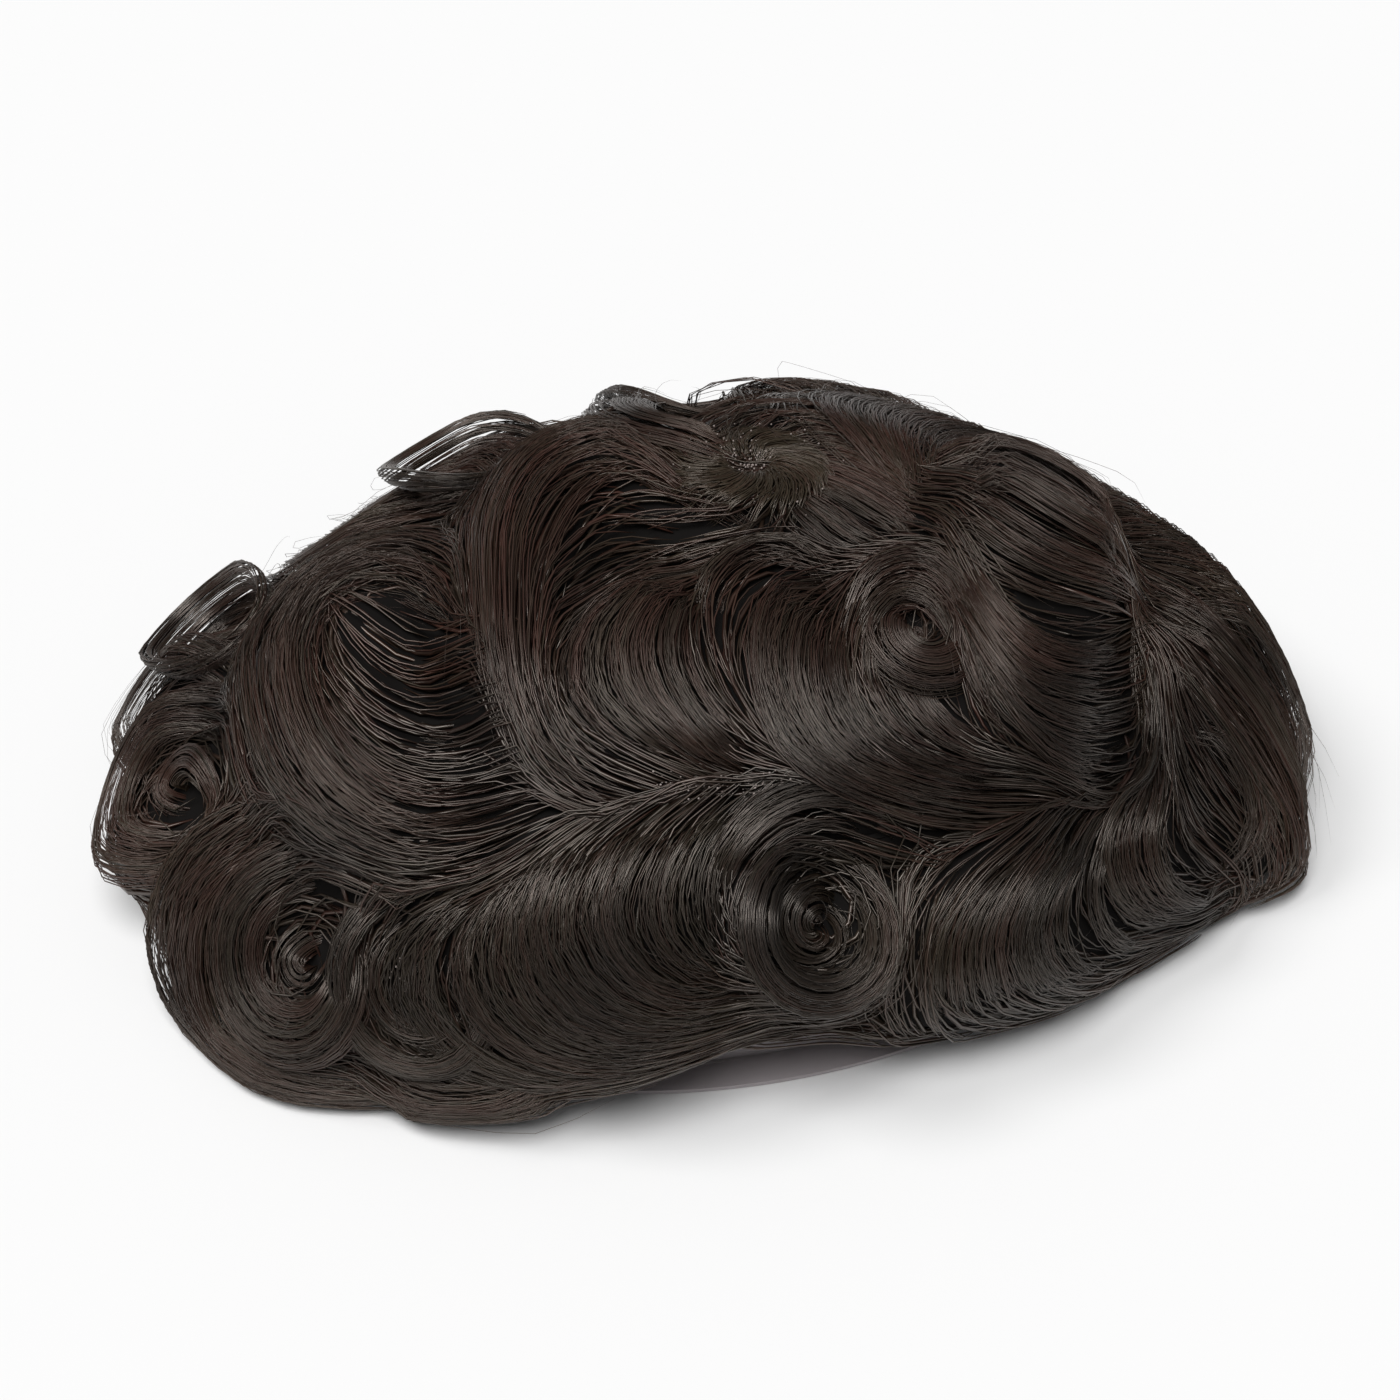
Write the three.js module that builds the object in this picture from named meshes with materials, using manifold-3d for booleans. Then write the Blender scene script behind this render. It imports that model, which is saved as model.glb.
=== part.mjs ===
// A hairpiece for the top of the head: a thin skin base moulded to the head, with wavy hair tied into it.
// The hair is styled in flat pin curls, long S waves and rolls. It rests on the surface as it keeps its form.
// Millimetres, +Z up. The forehead edge faces -Y, the wearer's left is +X, and the origin is the middle of
// the footprint, on the surface.
import * as THREE from "three";
import { mergeVertices } from "three/addons/utils/BufferGeometryUtils.js";
import Module from "manifold-3d";

const wasm = await Module();
wasm.setup();

// Driving sizes of the skin base
const baseLength = 192; // chord, forehead to nape
const baseWidth = 144; // chord, side to side
const baseHeight = 62;
const filmWall = 1;
const marginWidth = 7; // bare film past the last knots, turned out on the surface
const baseSides = 34;
const baseRings = 8;

// Driving sizes of the hair. The middle line of a lock runs on a dome that stands off the base by the lofts.
const crownLoft = 9;
const sideLoft = 18;
const browLoft = 20; // over the forehead
const napeLoft = 28; // over the nape, where the hair falls free
const curlRadius = 20; // half the width of one wave
const lockWidth = 15;
const lockThickness = 10;
const rootedDrop = 2.5; // from the locks' middle lines down to the rooted hair that carries them
const rootHem = 9; // height above the surface at which the rooted hair ends
const keelDepth = 6; // how deep the underside of a lock is sunk in the rooted hair
const freeLift = 0.8; // a lock lifted by more than this share of its thickness has no keel
const seatGap = 0.3; // between two pieces that touch

// How a lock swells from its root and tapers to its tip, in shares of its length, width and thickness
const swell = 0.3;
const taper = 0.35;
const endWidth = 0.4;
const endThick = 0.35;
const endLift = 0.2;
const endSink = 0.25;

// How finely the hair is built
const lockStep = 17; // length of one step along a lock
const lockBend = 50; // most degrees that a lock turns in one step
const lockSteps = 5; // fewest steps of a lock
const archSides = 3; // flat faces over the top of a lock
const patchStep = 24; // degrees between two meridians of a rooted patch, and between two of its rows
const finest = 0.12; // details of a cut smaller than this are smoothed away

const black = { color: 0x2a2422, roughness: 0.45, metalness: 0 };
const film = { color: 0xd9d3cf, roughness: 0.35, metalness: 0 };

const radians = THREE.MathUtils.degToRad;
const degrees = THREE.MathUtils.radToDeg;
const mix = THREE.MathUtils.lerp;
const ease = (t) => THREE.MathUtils.smoothstep(t, 0, 1);

// Half sizes of a dome: across, towards the brow, towards the nape, and up
const baseDome = { x: baseWidth / 2, brow: baseLength / 2, nape: baseLength / 2, z: baseHeight };
const lockDome = {
  x: baseDome.x + sideLoft,
  brow: baseDome.brow + browLoft,
  nape: baseDome.nape + napeLoft,
  z: baseDome.z + crownLoft,
};

function grown(dome, by) {
  return Object.fromEntries(Object.entries(dome).map(([way, half]) => [way, half + by]));
}

// The dome's half size along Y on the side where y lies
function reach(dome, y) {
  return y > 0 ? dome.nape : dome.brow;
}

// A place on a dome: round is degrees from the forehead towards the wearer's left,
// down runs from 0 at the crown to 1 at the rim.
function onDome(dome, round, down) {
  const fall = radians(90 * down);
  const turn = radians(round);
  const back = -Math.cos(turn);
  return new THREE.Vector3(
    dome.x * Math.sin(fall) * Math.sin(turn),
    reach(dome, back) * Math.sin(fall) * back,
    dome.z * Math.cos(fall),
  );
}

function domeNormal(dome, p) {
  return new THREE.Vector3(
    p.x / dome.x ** 2,
    p.y / reach(dome, p.y) ** 2,
    p.z / dome.z ** 2,
  ).normalize();
}

function ontoDome(dome, p) {
  return p
    .clone()
    .divideScalar(Math.hypot(p.x / dome.x, p.y / reach(dome, p.y), p.z / dome.z));
}

// Closed solid through rings of points that run from one end to the other. A ring of one point is a pole.
function loft(rings) {
  const positions = rings.flat().flatMap((p) => [p.x, p.y, p.z]);
  const faces = [];
  let start = 0;
  rings.slice(1).forEach((ring, i) => {
    const before = rings[i];
    const next = start + before.length;
    const count = Math.max(ring.length, before.length);
    for (let k = 0; k < count; k++) {
      const l = (k + 1) % count;
      const a = start + (before.length > 1 ? k : 0);
      const b = start + (before.length > 1 ? l : 0);
      const c = next + (ring.length > 1 ? k : 0);
      const d = next + (ring.length > 1 ? l : 0);
      if (a !== b) faces.push([a, b, d]);
      if (c !== d) faces.push([a, d, c]);
    }
    start = next;
  });
  const geometry = new THREE.BufferGeometry();
  geometry.setAttribute("position", new THREE.Float32BufferAttribute(positions, 3));
  geometry.setIndex(faces.flat());
  return geometry;
}

function asSolid(geometry) {
  const plain = geometry.clone();
  plain.deleteAttribute("normal");
  plain.deleteAttribute("uv");
  const merged = mergeVertices(plain, 1e-3);
  const solid = new wasm.Manifold(
    new wasm.Mesh({
      numProp: 3,
      vertProperties: merged.attributes.position.array,
      triVerts: new Uint32Array(merged.index.array),
    }),
  );
  if (solid.volume() >= 0) return solid;
  const index = merged.index.array;
  for (let i = 0; i < index.length; i += 3)
    [index[i], index[i + 1]] = [index[i + 1], index[i]];
  return asSolid(merged);
}

function asGeometry(solid) {
  const mesh = solid.getMesh();
  const geometry = new THREE.BufferGeometry();
  const positions = [];
  for (let i = 0; i < mesh.numVert; i++)
    positions.push(
      ...mesh.vertProperties.subarray(i * mesh.numProp, i * mesh.numProp + 3),
    );
  geometry.setAttribute("position", new THREE.Float32BufferAttribute(positions, 3));
  geometry.setIndex([...mesh.triVerts]);
  geometry.computeVertexNormals();
  return geometry;
}

function join(solids) {
  return solids.reduce((all, solid) => all.add(solid));
}

// The largest body of a solid: a crumb that a cut leaves of a lock's tip is dropped.
function mainBody(solid) {
  return solid
    .decompose()
    .reduce((best, body) => (body.volume() > best.volume() ? body : best));
}

function ellipse(halfX, halfY, z) {
  return Array.from({ length: baseSides }, (_, k) => {
    const turn = (2 * Math.PI * k) / baseSides;
    return new THREE.Vector3(halfX * Math.sin(turn), -halfY * Math.cos(turn), z);
  });
}

// Rings of a dome from its crown down to a height
function domeRings(dome, bottom) {
  const last = Math.acos(bottom / dome.z);
  return Array.from({ length: baseRings + 1 }, (_, i) => {
    const fall = (last * i) / baseRings;
    const share = Math.sin(fall);
    return i === 0
      ? [new THREE.Vector3(0, 0, dome.z)]
      : ellipse(dome.x * share, dome.brow * share, dome.z * Math.cos(fall));
  });
}

// The skin: a dome of even wall with its bare margin turned out flat
function skinBase() {
  const inner = grown(baseDome, -filmWall);
  const flat = [filmWall, 0].map((z) =>
    ellipse(baseDome.x + marginWidth, baseDome.brow + marginWidth, z),
  );
  return loft([
    ...domeRings(baseDome, filmWall),
    ...flat,
    ...domeRings(inner, 0).reverse(),
  ]);
}

// All that the hair has to stay clear of: the head's space, the skin and its margin
function skinKeepOut() {
  const wide = grown(baseDome, seatGap);
  const edge = marginWidth + seatGap;
  const top = filmWall + seatGap;
  const under = -lockWidth; // below all that a lock reaches
  return asSolid(
    loft([
      ...domeRings(wide, top),
      ellipse(baseDome.x + edge, baseDome.brow + edge, top),
      ellipse(baseDome.x + edge, baseDome.brow + edge, under),
      [new THREE.Vector3(0, 0, under)],
    ]),
  );
}

// Rooted hair: a patch of the mass between the skin and the locks. The crown's patch goes all the way round.
function rootedPatch({ from, to, top, bottom }, more = 0) {
  const inner = grown(baseDome, -filmWall - more);
  const outer = grown(lockDome, more - rootedDrop);
  const slack = seatGap / 2 - more;
  const dip = degrees(slack / baseDome.z) / 90;
  const high = top > 0 ? top + dip : 0;
  const hem = degrees(Math.acos((rootHem - more) / baseDome.z)) / 90;
  const low = bottom < 1 ? bottom - dip : hem;
  const seamRadius = baseDome.x * Math.sin(radians(90 * top));
  const sway = top > 0 ? degrees(slack / seamRadius) : 0;
  const count = Math.ceil((to - from) / patchStep);
  const rows = Math.ceil((90 * (bottom - top)) / patchStep) + 1;
  const corner = (dome, i, k) =>
    onDome(dome, mix(from + sway, to - sway, i / count), mix(high, low, k / rows));
  const down = Array.from({ length: rows + 1 }, (_, k) => k);
  const up = down.toReversed();
  if (top === 0) {
    const ring = (dome, k) =>
      k === 0
        ? [onDome(dome, 0, 0)]
        : Array.from({ length: count }, (_, i) => corner(dome, i, k));
    return asSolid(loft([...down.map((k) => ring(outer, k)), ...up.map((k) => ring(inner, k))]));
  }
  const rings = Array.from({ length: count + 1 }, (_, i) => [
    ...down.map((k) => corner(outer, i, k)),
    ...up.map((k) => corner(inner, i, k)),
  ]);
  return asSolid(loft([middleOf(rings[0]), ...rings, middleOf(rings.at(-1))]));
}

// The point that closes an end ring
function middleOf(ring) {
  return [ring.reduce((sum, p) => sum.add(p), new THREE.Vector3()).divideScalar(ring.length)];
}

// One lock winds round a centre on the dome, from its root radius to its tip radius. Angles are degrees,
// clockwise seen from outside, from straight up the head. A lock narrows towards both ends.
function lockFrames(lock) {
  const centre = onDome(lockDome, lock.round, lock.down);
  const out = domeNormal(lockDome, centre);
  const side = new THREE.Vector3(0, 0, 1).cross(out).normalize();
  const up = out.clone().cross(side);
  const place = (t) => {
    const clock = radians(lock.from + lock.turn * t);
    const radius = curlRadius * mix(lock.root, lock.tip, t);
    const flat = centre
      .clone()
      .addScaledVector(side, radius * Math.sin(clock))
      .addScaledVector(up, radius * Math.cos(clock));
    flat.z = Math.max(flat.z, 0);
    return ontoDome(lockDome, flat);
  };
  const nudge = 0.01;
  const length = (curlRadius * (lock.root + lock.tip) * radians(Math.abs(lock.turn))) / 2;
  const steps = Math.ceil(Math.max(lockSteps, length / lockStep, Math.abs(lock.turn) / lockBend));
  return Array.from({ length: steps + 1 }, (_, i) => {
    const t = i / steps;
    const point = place(t);
    const along = place(t + nudge).sub(place(t - nudge)).normalize();
    const normal = domeNormal(lockDome, point);
    const across = along.clone().cross(normal).normalize();
    if (across.dot(point.clone().sub(centre)) < 0) across.negate();
    const cosLean = Math.cos(radians(lock.tilt));
    const sinLean = Math.sin(radians(lock.tilt));
    const body = ease(t / swell) * ease((1 - t) / taper);
    const lift = lockThickness * (lock.lift * mix(endLift, 1, body) - endSink * (1 - body));
    const depth = (lockThickness * lock.thick * mix(endThick, 1, body)) / 2;
    return {
      point: point.addScaledVector(normal, lift),
      along,
      wide: across.clone().multiplyScalar(cosLean).addScaledVector(normal, sinLean),
      thick: normal.clone().multiplyScalar(cosLean).addScaledVector(across, -sinLean),
      half: (lockWidth * lock.width * mix(endWidth, 1, body)) / 2,
      depth,
      keel: lock.lift > freeLift ? depth : Math.max(depth, lift + keelDepth),
    };
  });
}

// In section a lock is an arch over a keel.
function lockSolid(lock, more = 0) {
  const frames = lockFrames(lock);
  const root = frames[0];
  const tip = frames.at(-1);
  root.point.addScaledVector(root.along, -more);
  tip.point.addScaledVector(tip.along, more);
  const corner = (f, x, y) =>
    f.point.clone().addScaledVector(f.wide, x).addScaledVector(f.thick, y);
  const rings = frames.map((f) => [
    ...Array.from({ length: archSides + 1 }, (_, k) => {
      const turn = (Math.PI * k) / archSides;
      return corner(f, (f.half + more) * Math.cos(turn), (f.depth + more) * Math.sin(turn));
    }),
    corner(f, 0, -f.keel - more),
  ]);
  return asSolid(loft([[root.point], ...rings, [tip.point]]));
}

// The styled locks. round and down place a lock's centre on the dome, from and turn are its winding,
// root and tip are shares of curlRadius, width of lockWidth, thick and lift of lockThickness.
// copies repeats a lock, each moved on by the steps in round and down and by a share of curlRadius.
const columns = [
  "section", "round", "down", "from", "turn", "root", "tip",
  "width", "thick", "lift", "tilt", "copies", "stepRound", "stepDown", "stepRadius",
];
const table = [
  // forehead: the big pin curl at the near corner, the roll under it and the curls at the hairline
  ["forehead_curls", 36, 0.78, -25, -215, 1.55, 1.75, 1.1, 1.0, 0.2, 12, 1, 0, 0, 0],
  ["forehead_curls", 36, 0.77, 30, -400, 1.05, 0.3, 0.8, 0.8, 0.3, 20, 1, 0, 0, 0],
  ["forehead_curls", 50, 0.68, -150, -95, 1.75, 1.7, 1.0, 1.0, 0.0, 0, 1, 0, 0, 0],
  ["forehead_curls", 2, 0.73, -12, -260, 0.9, 0.6, 0.85, 0.9, 0.5, 20, 1, 0, 0, 0],
  ["forehead_curls", -14, 0.76, -10, -220, 0.8, 0.6, 0.7, 0.8, 0.7, 15, 1, 0, 0, 0],
  ["forehead_curls", -27, 0.69, 20, -340, 0.65, 0.6, 0.7, 0.35, 0.9, 80, 1, 0, 0, 0],
  ["forehead_curls", -45, 0.8, 25, 215, 1.3, 1.5, 1.1, 1.0, 0.2, 12, 1, 0, 0, 0],
  ["forehead_curls", -45, 0.79, -30, 400, 0.9, 0.3, 0.8, 0.8, 0.3, 20, 1, 0, 0, 0],
  // forelock: the tall loop behind the hairline, with the hair that fans into it
  ["forelock", 25, 0.37, 80, 220, 1.6, 2.0, 1.1, 1.0, 0.4, 14, 1, 0, 0, 0],
  ["forelock", -6, 0.37, -125, 270, 0.95, 0.5, 0.8, 0.8, 0.4, 20, 1, 0, 0, 0],
  ["forelock", 27, 0.43, 10, -130, 0.95, 0.95, 0.9, 0.8, -0.1, 0, 2, 0, 0, -0.45],
  ["forelock", -45, 0.4, -40, -180, 1.0, 0.9, 1.0, 0.9, 0.2, 10, 1, 0, 0, 0],
  // crown: the broad sweep round the hollow, and the wave that falls out of it
  ["crown_sweep", 34, 0.13, -5, -230, 1.95, 1.85, 1.5, 1.1, 0.5, 12, 1, 0, 0, 0],
  ["crown_sweep", 34, 0.13, -15, -200, 1.25, 1.15, 1.0, 0.9, 0.1, 15, 1, 0, 0, 0],
  ["crown_sweep", -1, 0.1, -15, -280, 0.65, 0.4, 0.5, 0.6, -0.4, 0, 1, 0, 0, 0],
  ["crown_sweep", 61, 0.21, -75, -150, 1.45, 1.4, 1.0, 0.9, 0.4, 5, 3, 0, 0, -0.38],
  ["crown_sweep", -125, 0.17, -60, 250, 1.3, 1.1, 1.3, 0.9, 0.2, 8, 2, 0, 0, -0.6],
  // back of the crown: the swirl, the loop before it and the ridge that closes it
  ["crown_swirl", 121, 0.32, 0, -175, 1.2, 1.6, 1.1, 1.0, 0.4, 10, 1, 0, 0, 0],
  ["crown_swirl", 129, 0.31, 60, -420, 0.85, 0.2, 0.65, 0.7, 0.3, 18, 1, 0, 0, 0],
  ["crown_swirl", 109, 0.15, 105, -150, 0.75, 0.8, 0.6, 0.7, 0.5, 10, 1, 0, 0, 0],
  ["crown_swirl", 142, 0.38, 45, 210, 1.4, 1.3, 1.2, 1.1, 0.6, 10, 1, 0, 0, 0],
  ["crown_swirl", 142, 0.38, 60, 170, 0.95, 0.9, 0.9, 0.9, 0.1, 5, 1, 0, 0, 0],
  ["crown_swirl", 128, 0.24, 30, 130, 1.7, 1.5, 1.3, 0.8, 0.1, 5, 1, 0, 0, 0],
  ["crown_swirl", 150, 0.3, 0, 100, 3.2, 3.0, 1.3, 1.0, 0.8, 0, 1, 0, 0, 0],
  ["crown_swirl", 188, 0.4, -30, 200, 1.2, 1.1, 1.2, 0.9, 0.2, 8, 2, 26, 0, 0],
  // left side, the side that faces the camera: rolled waves, a pin curl and the barrel roll
  ["left_waves", 51, 0.74, 5, -330, 0.95, 0.3, 0.75, 0.8, 0.2, 15, 1, 0, 0, 0],
  ["left_waves", 60, 0.65, 10, -190, 1.4, 1.3, 1.05, 0.9, 0.3, 8, 4, 9.5, -0.015, -0.06],
  ["left_waves", 94, 0.63, 30, -370, 0.92, 0.78, 0.8, 0.9, 0.5, 18, 1, 0, 0, 0],
  ["left_waves", 94, 0.63, 60, -330, 0.5, 0.25, 0.5, 0.6, 0.0, 10, 1, 0, 0, 0],
  ["left_waves", 111, 0.76, 25, -150, 1.15, 1.1, 0.9, 0.9, 0.4, 8, 4, 7, 0.005, 0],
  // back: hair that falls from the ridge to the nape
  ["back_fall", 147, 0.66, 55, 105, 2.2, 2.5, 1.5, 0.9, 0.5, 0, 6, 15, 0, 0],
  ["back_fall", 134, 0.72, 50, 100, 1.2, 1.3, 0.9, 0.8, 0.1, 0, 2, 8, 0.02, 0],
  // right side, away from the camera: waves and pin curls like those of the left side
  ["right_waves", -60, 0.63, -10, 190, 1.3, 1.2, 1.1, 0.9, 0.3, 8, 3, -11, 0, 0],
  ["right_waves", -100, 0.63, -30, 370, 0.92, 0.78, 0.8, 0.9, 0.5, 18, 1, 0, 0, 0],
  ["right_waves", -100, 0.63, -60, 330, 0.5, 0.25, 0.5, 0.6, 0.0, 10, 1, 0, 0, 0],
  ["right_waves", -117, 0.74, -25, 150, 1.15, 1.1, 1.1, 0.9, 0.4, 8, 2, -11, 0, 0],
  ["right_waves", -105, 0.37, -30, 200, 1.2, 1.1, 1.2, 0.9, 0.2, 8, 1, 0, 0, 0],
  ["right_waves", -58, 0.41, -60, -300, 0.8, 0.6, 0.7, 0.35, 0.9, 45, 1, 0, 0, 0],
];

// The rooted patch under each section. An earlier section lies over a later one.
const sections = {
  crown_sweep: { from: 0, to: 360, top: 0, bottom: 0.33 },
  crown_swirl: { from: 95, to: 230, top: 0.33, bottom: 0.52 },
  forelock: { from: -50, to: 95, top: 0.33, bottom: 0.52 },
  forehead_curls: { from: -50, to: 45, top: 0.52, bottom: 1 },
  left_waves: { from: 45, to: 130, top: 0.52, bottom: 1 },
  back_fall: { from: 130, to: 230, top: 0.52, bottom: 1 },
  right_waves: { from: 230, to: 310, top: 0.33, bottom: 1 },
};

function locksOf(section) {
  return table
    .map((row) => Object.fromEntries(columns.map((c, i) => [c, row[i]])))
    .filter((lock) => lock.section === section)
    .flatMap((lock) =>
      Array.from({ length: lock.copies }, (_, i) => ({
        ...lock,
        round: lock.round + i * lock.stepRound,
        down: lock.down + i * lock.stepDown,
        root: lock.root + i * lock.stepRadius,
        tip: lock.tip + i * lock.stepRadius,
      })),
    );
}

function sectionSolid(name, more = 0) {
  return join([
    rootedPatch(sections[name], more),
    ...locksOf(name).map((lock) => lockSolid(lock, more)),
  ]);
}

const hairpiece = new THREE.Group();

function addPiece(name, geometry, finish) {
  const mesh = new THREE.Mesh(geometry, new THREE.MeshStandardMaterial(finish));
  mesh.name = name;
  hairpiece.add(mesh);
}

addPiece("skin_base", asGeometry(asSolid(skinBase())), film);

let keepOut = skinKeepOut();
for (const name of Object.keys(sections)) {
  const hair = sectionSolid(name)
    .subtract(keepOut)
    .trimByPlane([0, 0, 1], 0);
  addPiece(name, asGeometry(mainBody(hair).asOriginal().simplify(finest)), black);
  keepOut = keepOut.add(sectionSolid(name, seatGap));
}

// The origin goes to the middle of the footprint.
const box = new THREE.Box3().setFromObject(hairpiece);
const middle = box.getCenter(new THREE.Vector3());
hairpiece.position.set(-middle.x, -middle.y, -box.min.z);

export default hairpiece;
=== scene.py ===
# %% [markdown]
# # A wavy hairpiece for the top of the head
# The real thing is a thin skin, moulded to the head, with thousands of single hairs tied into it and combed
# into pin curls, S waves and rolls. The CAD frame holds its true size: the skin base and seven hair
# sections, each a closed solid of combed locks. This lesson dresses that frame: a thin film for the base,
# and strands of hair that run along wound locks and combed sheets, laid over a dark mass so that nothing
# shows through.

# %% Load the frame
import math

import bpy
import numpy as np
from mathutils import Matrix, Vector


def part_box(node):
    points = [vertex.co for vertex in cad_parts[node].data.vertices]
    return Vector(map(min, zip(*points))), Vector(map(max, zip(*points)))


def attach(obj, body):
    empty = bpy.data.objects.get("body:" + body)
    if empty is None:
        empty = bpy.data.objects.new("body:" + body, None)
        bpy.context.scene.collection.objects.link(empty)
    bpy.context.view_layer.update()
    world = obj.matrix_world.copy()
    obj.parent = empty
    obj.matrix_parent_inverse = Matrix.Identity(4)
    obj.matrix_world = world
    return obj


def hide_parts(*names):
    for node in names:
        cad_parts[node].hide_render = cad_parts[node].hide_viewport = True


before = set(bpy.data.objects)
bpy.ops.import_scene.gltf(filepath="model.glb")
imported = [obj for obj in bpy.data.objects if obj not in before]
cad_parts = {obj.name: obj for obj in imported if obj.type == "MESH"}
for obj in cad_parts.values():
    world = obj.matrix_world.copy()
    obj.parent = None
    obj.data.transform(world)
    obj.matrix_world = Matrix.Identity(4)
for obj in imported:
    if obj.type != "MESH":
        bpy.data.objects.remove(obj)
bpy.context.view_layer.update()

MM = 0.001

# %% [markdown]
# ## The two domes
# Everything hangs on two half ellipsoids. The base dome is the skin. The lock dome stands off it, and the
# middle line of every lock runs on it. It reaches further back than forward, because the hair falls free at
# the nape. The base dome's place and height are read from the CAD skin, so the strands sit where the solids
# are.

# %% Domes
MARGIN = 7
BASE_HALF_WIDTH = 72
# how far the lock dome stands off the base dome on each side
LOFT = {"across": 18, "brow": 20, "nape": 28, "height": 9}

skin_low, skin_high = (np.array(corner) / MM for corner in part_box("skin_base"))
dome_middle = np.array([(skin_low[0] + skin_high[0]) / 2, (skin_low[1] + skin_high[1]) / 2, 0])
base_half_length = (skin_high[1] - skin_low[1]) / 2 - MARGIN
base_dome = {"across": BASE_HALF_WIDTH, "brow": base_half_length, "nape": base_half_length,
             "height": skin_high[2]}
lock_dome = {way: half + LOFT[way] for way, half in base_dome.items()}


def half_sizes(shape, points):
    """The dome's half sizes at each point, which may differ between its brow side and its nape side."""
    along = np.where(points[..., 1] > 0, shape["nape"], shape["brow"])
    return np.stack([np.full_like(along, shape["across"]), along, np.full_like(along, shape["height"])], -1)


def on_dome(shape, round_head, down):
    """round_head is degrees from the forehead towards the wearer's left, down 0 at the crown, 1 at the rim."""
    turn, fall = np.broadcast_arrays(np.radians(round_head), np.radians(90 * down))
    away = np.stack([np.sin(fall) * np.sin(turn), -np.sin(fall) * np.cos(turn), np.cos(fall)], -1)
    return away * half_sizes(shape, away)


def dome_normal(shape, points):
    return unit(points / half_sizes(shape, points) ** 2)


def onto_dome(shape, points):
    return points / np.linalg.norm(points / half_sizes(shape, points), axis=-1, keepdims=True)


def unit(vectors):
    return vectors / np.maximum(np.linalg.norm(vectors, axis=-1, keepdims=True), 1e-9)


def mix(a, b, t):
    return a + (b - a) * t


def ease(t):
    t = np.clip(t, 0, 1)
    return t * t * (3 - 2 * t)


print("base dome", base_dome, "lock dome", lock_dome)

# %% [markdown]
# ## The locks
# A styled lock is a ribbon of hair that winds round a centre. The table gives each one's centre on the lock
# dome, the clock angle where it starts and how far it turns, and its radius at root and tip. Where a row
# has copies, the real hair is one broad comb stroke, so the strands fill all the space between the first
# copy and the last.

# %% Lock table
CURL_RADIUS, LOCK_WIDTH, LOCK_THICKNESS = 20, 15, 10
STANDING_TILT = 40  # a lock tilted this far stands on its edge
columns = ("section", "round", "down", "start", "turn", "root", "tip",
           "width", "thick", "lift", "tilt", "copies", "step_round", "step_down", "step_radius")
rows = [
    # the big pin curl at the near corner of the forehead, the roll under it and the curls at the hairline
    ("forehead_curls", 36, 0.78, -25, -215, 1.55, 1.75, 1.1, 1.0, 0.2, 12, 1, 0, 0, 0),
    ("forehead_curls", 36, 0.77, 30, -400, 1.05, 0.3, 0.8, 0.8, 0.3, 20, 1, 0, 0, 0),
    ("forehead_curls", 50, 0.68, -150, -95, 1.75, 1.7, 1.0, 1.0, 0.0, 0, 1, 0, 0, 0),
    ("forehead_curls", 2, 0.73, -12, -260, 0.9, 0.6, 0.85, 0.9, 0.5, 20, 1, 0, 0, 0),
    ("forehead_curls", -14, 0.76, -10, -220, 0.8, 0.6, 0.7, 0.8, 0.7, 15, 1, 0, 0, 0),
    ("forehead_curls", -27, 0.69, 20, -340, 0.65, 0.6, 0.7, 0.35, 0.9, 80, 1, 0, 0, 0),
    ("forehead_curls", -45, 0.8, 25, 215, 1.3, 1.5, 1.1, 1.0, 0.2, 12, 1, 0, 0, 0),
    ("forehead_curls", -45, 0.79, -30, 400, 0.9, 0.3, 0.8, 0.8, 0.3, 20, 1, 0, 0, 0),
    # the tall loop behind the hairline, with the hair that fans into it
    ("forelock", -45, 0.4, -40, -180, 1.0, 0.9, 1.0, 0.9, 0.2, 10, 1, 0, 0, 0),
    # behind the crown: the ridge that closes it, and the hair in the middle of the swirl
    ("crown_swirl", 188, 0.4, -30, 200, 1.2, 1.1, 1.2, 0.9, 0.2, 8, 2, 26, 0, 0),
    ("crown_swirl", 129, 0.285, 30, 420, 0.6, 0.12, 0.75, 0.5, 0.25, 0, 1, 0, 0, 0),
    # the side towards the camera: the wave beside the big curl, and the pin curl with its rings
    ("left_waves", 51, 0.74, 5, -330, 0.95, 0.3, 0.75, 0.8, 0.2, 15, 1, 0, 0, 0),
    ("left_waves", 91.5, 0.63, 30, -370, 0.68, 0.58, 0.64, 0.9, 0.6, 18, 1, 0, 0, 0),
    ("left_waves", 91.5, 0.63, 60, -330, 0.4, 0.2, 0.45, 0.6, 0.1, 10, 1, 0, 0, 0),
    ("left_waves", 92, 0.625, 65, -160, 1.15, 0.95, 0.7, 0.8, 0.15, 10, 1, 0, 0, 0),
    # the hair that falls from the ridge to the nape
    ("back_fall", 147, 0.66, 55, 105, 2.2, 2.5, 1.5, 0.9, 0.5, 0, 6, 15, 0, 0),
    ("back_fall", 134, 0.72, 50, 100, 1.2, 1.3, 0.9, 0.8, 0.1, 0, 2, 8, 0.02, 0),
    # the side away from the camera
    ("right_waves", -60, 0.63, -10, 190, 1.3, 1.2, 1.1, 0.9, 0.3, 8, 3, -11, 0, 0),
    ("right_waves", -100, 0.63, -30, 370, 0.92, 0.78, 0.8, 0.9, 0.5, 18, 1, 0, 0, 0),
    ("right_waves", -100, 0.63, -60, 330, 0.5, 0.25, 0.5, 0.6, 0.0, 10, 1, 0, 0, 0),
    ("right_waves", -117, 0.74, -25, 150, 1.15, 1.1, 1.1, 0.9, 0.4, 8, 2, -11, 0, 0),
    ("right_waves", -105, 0.37, -30, 200, 1.2, 1.1, 1.2, 0.9, 0.2, 8, 1, 0, 0, 0),
    ("right_waves", -58, 0.41, -60, -300, 0.8, 0.6, 0.7, 0.35, 0.9, 45, 1, 0, 0, 0),
]
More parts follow.
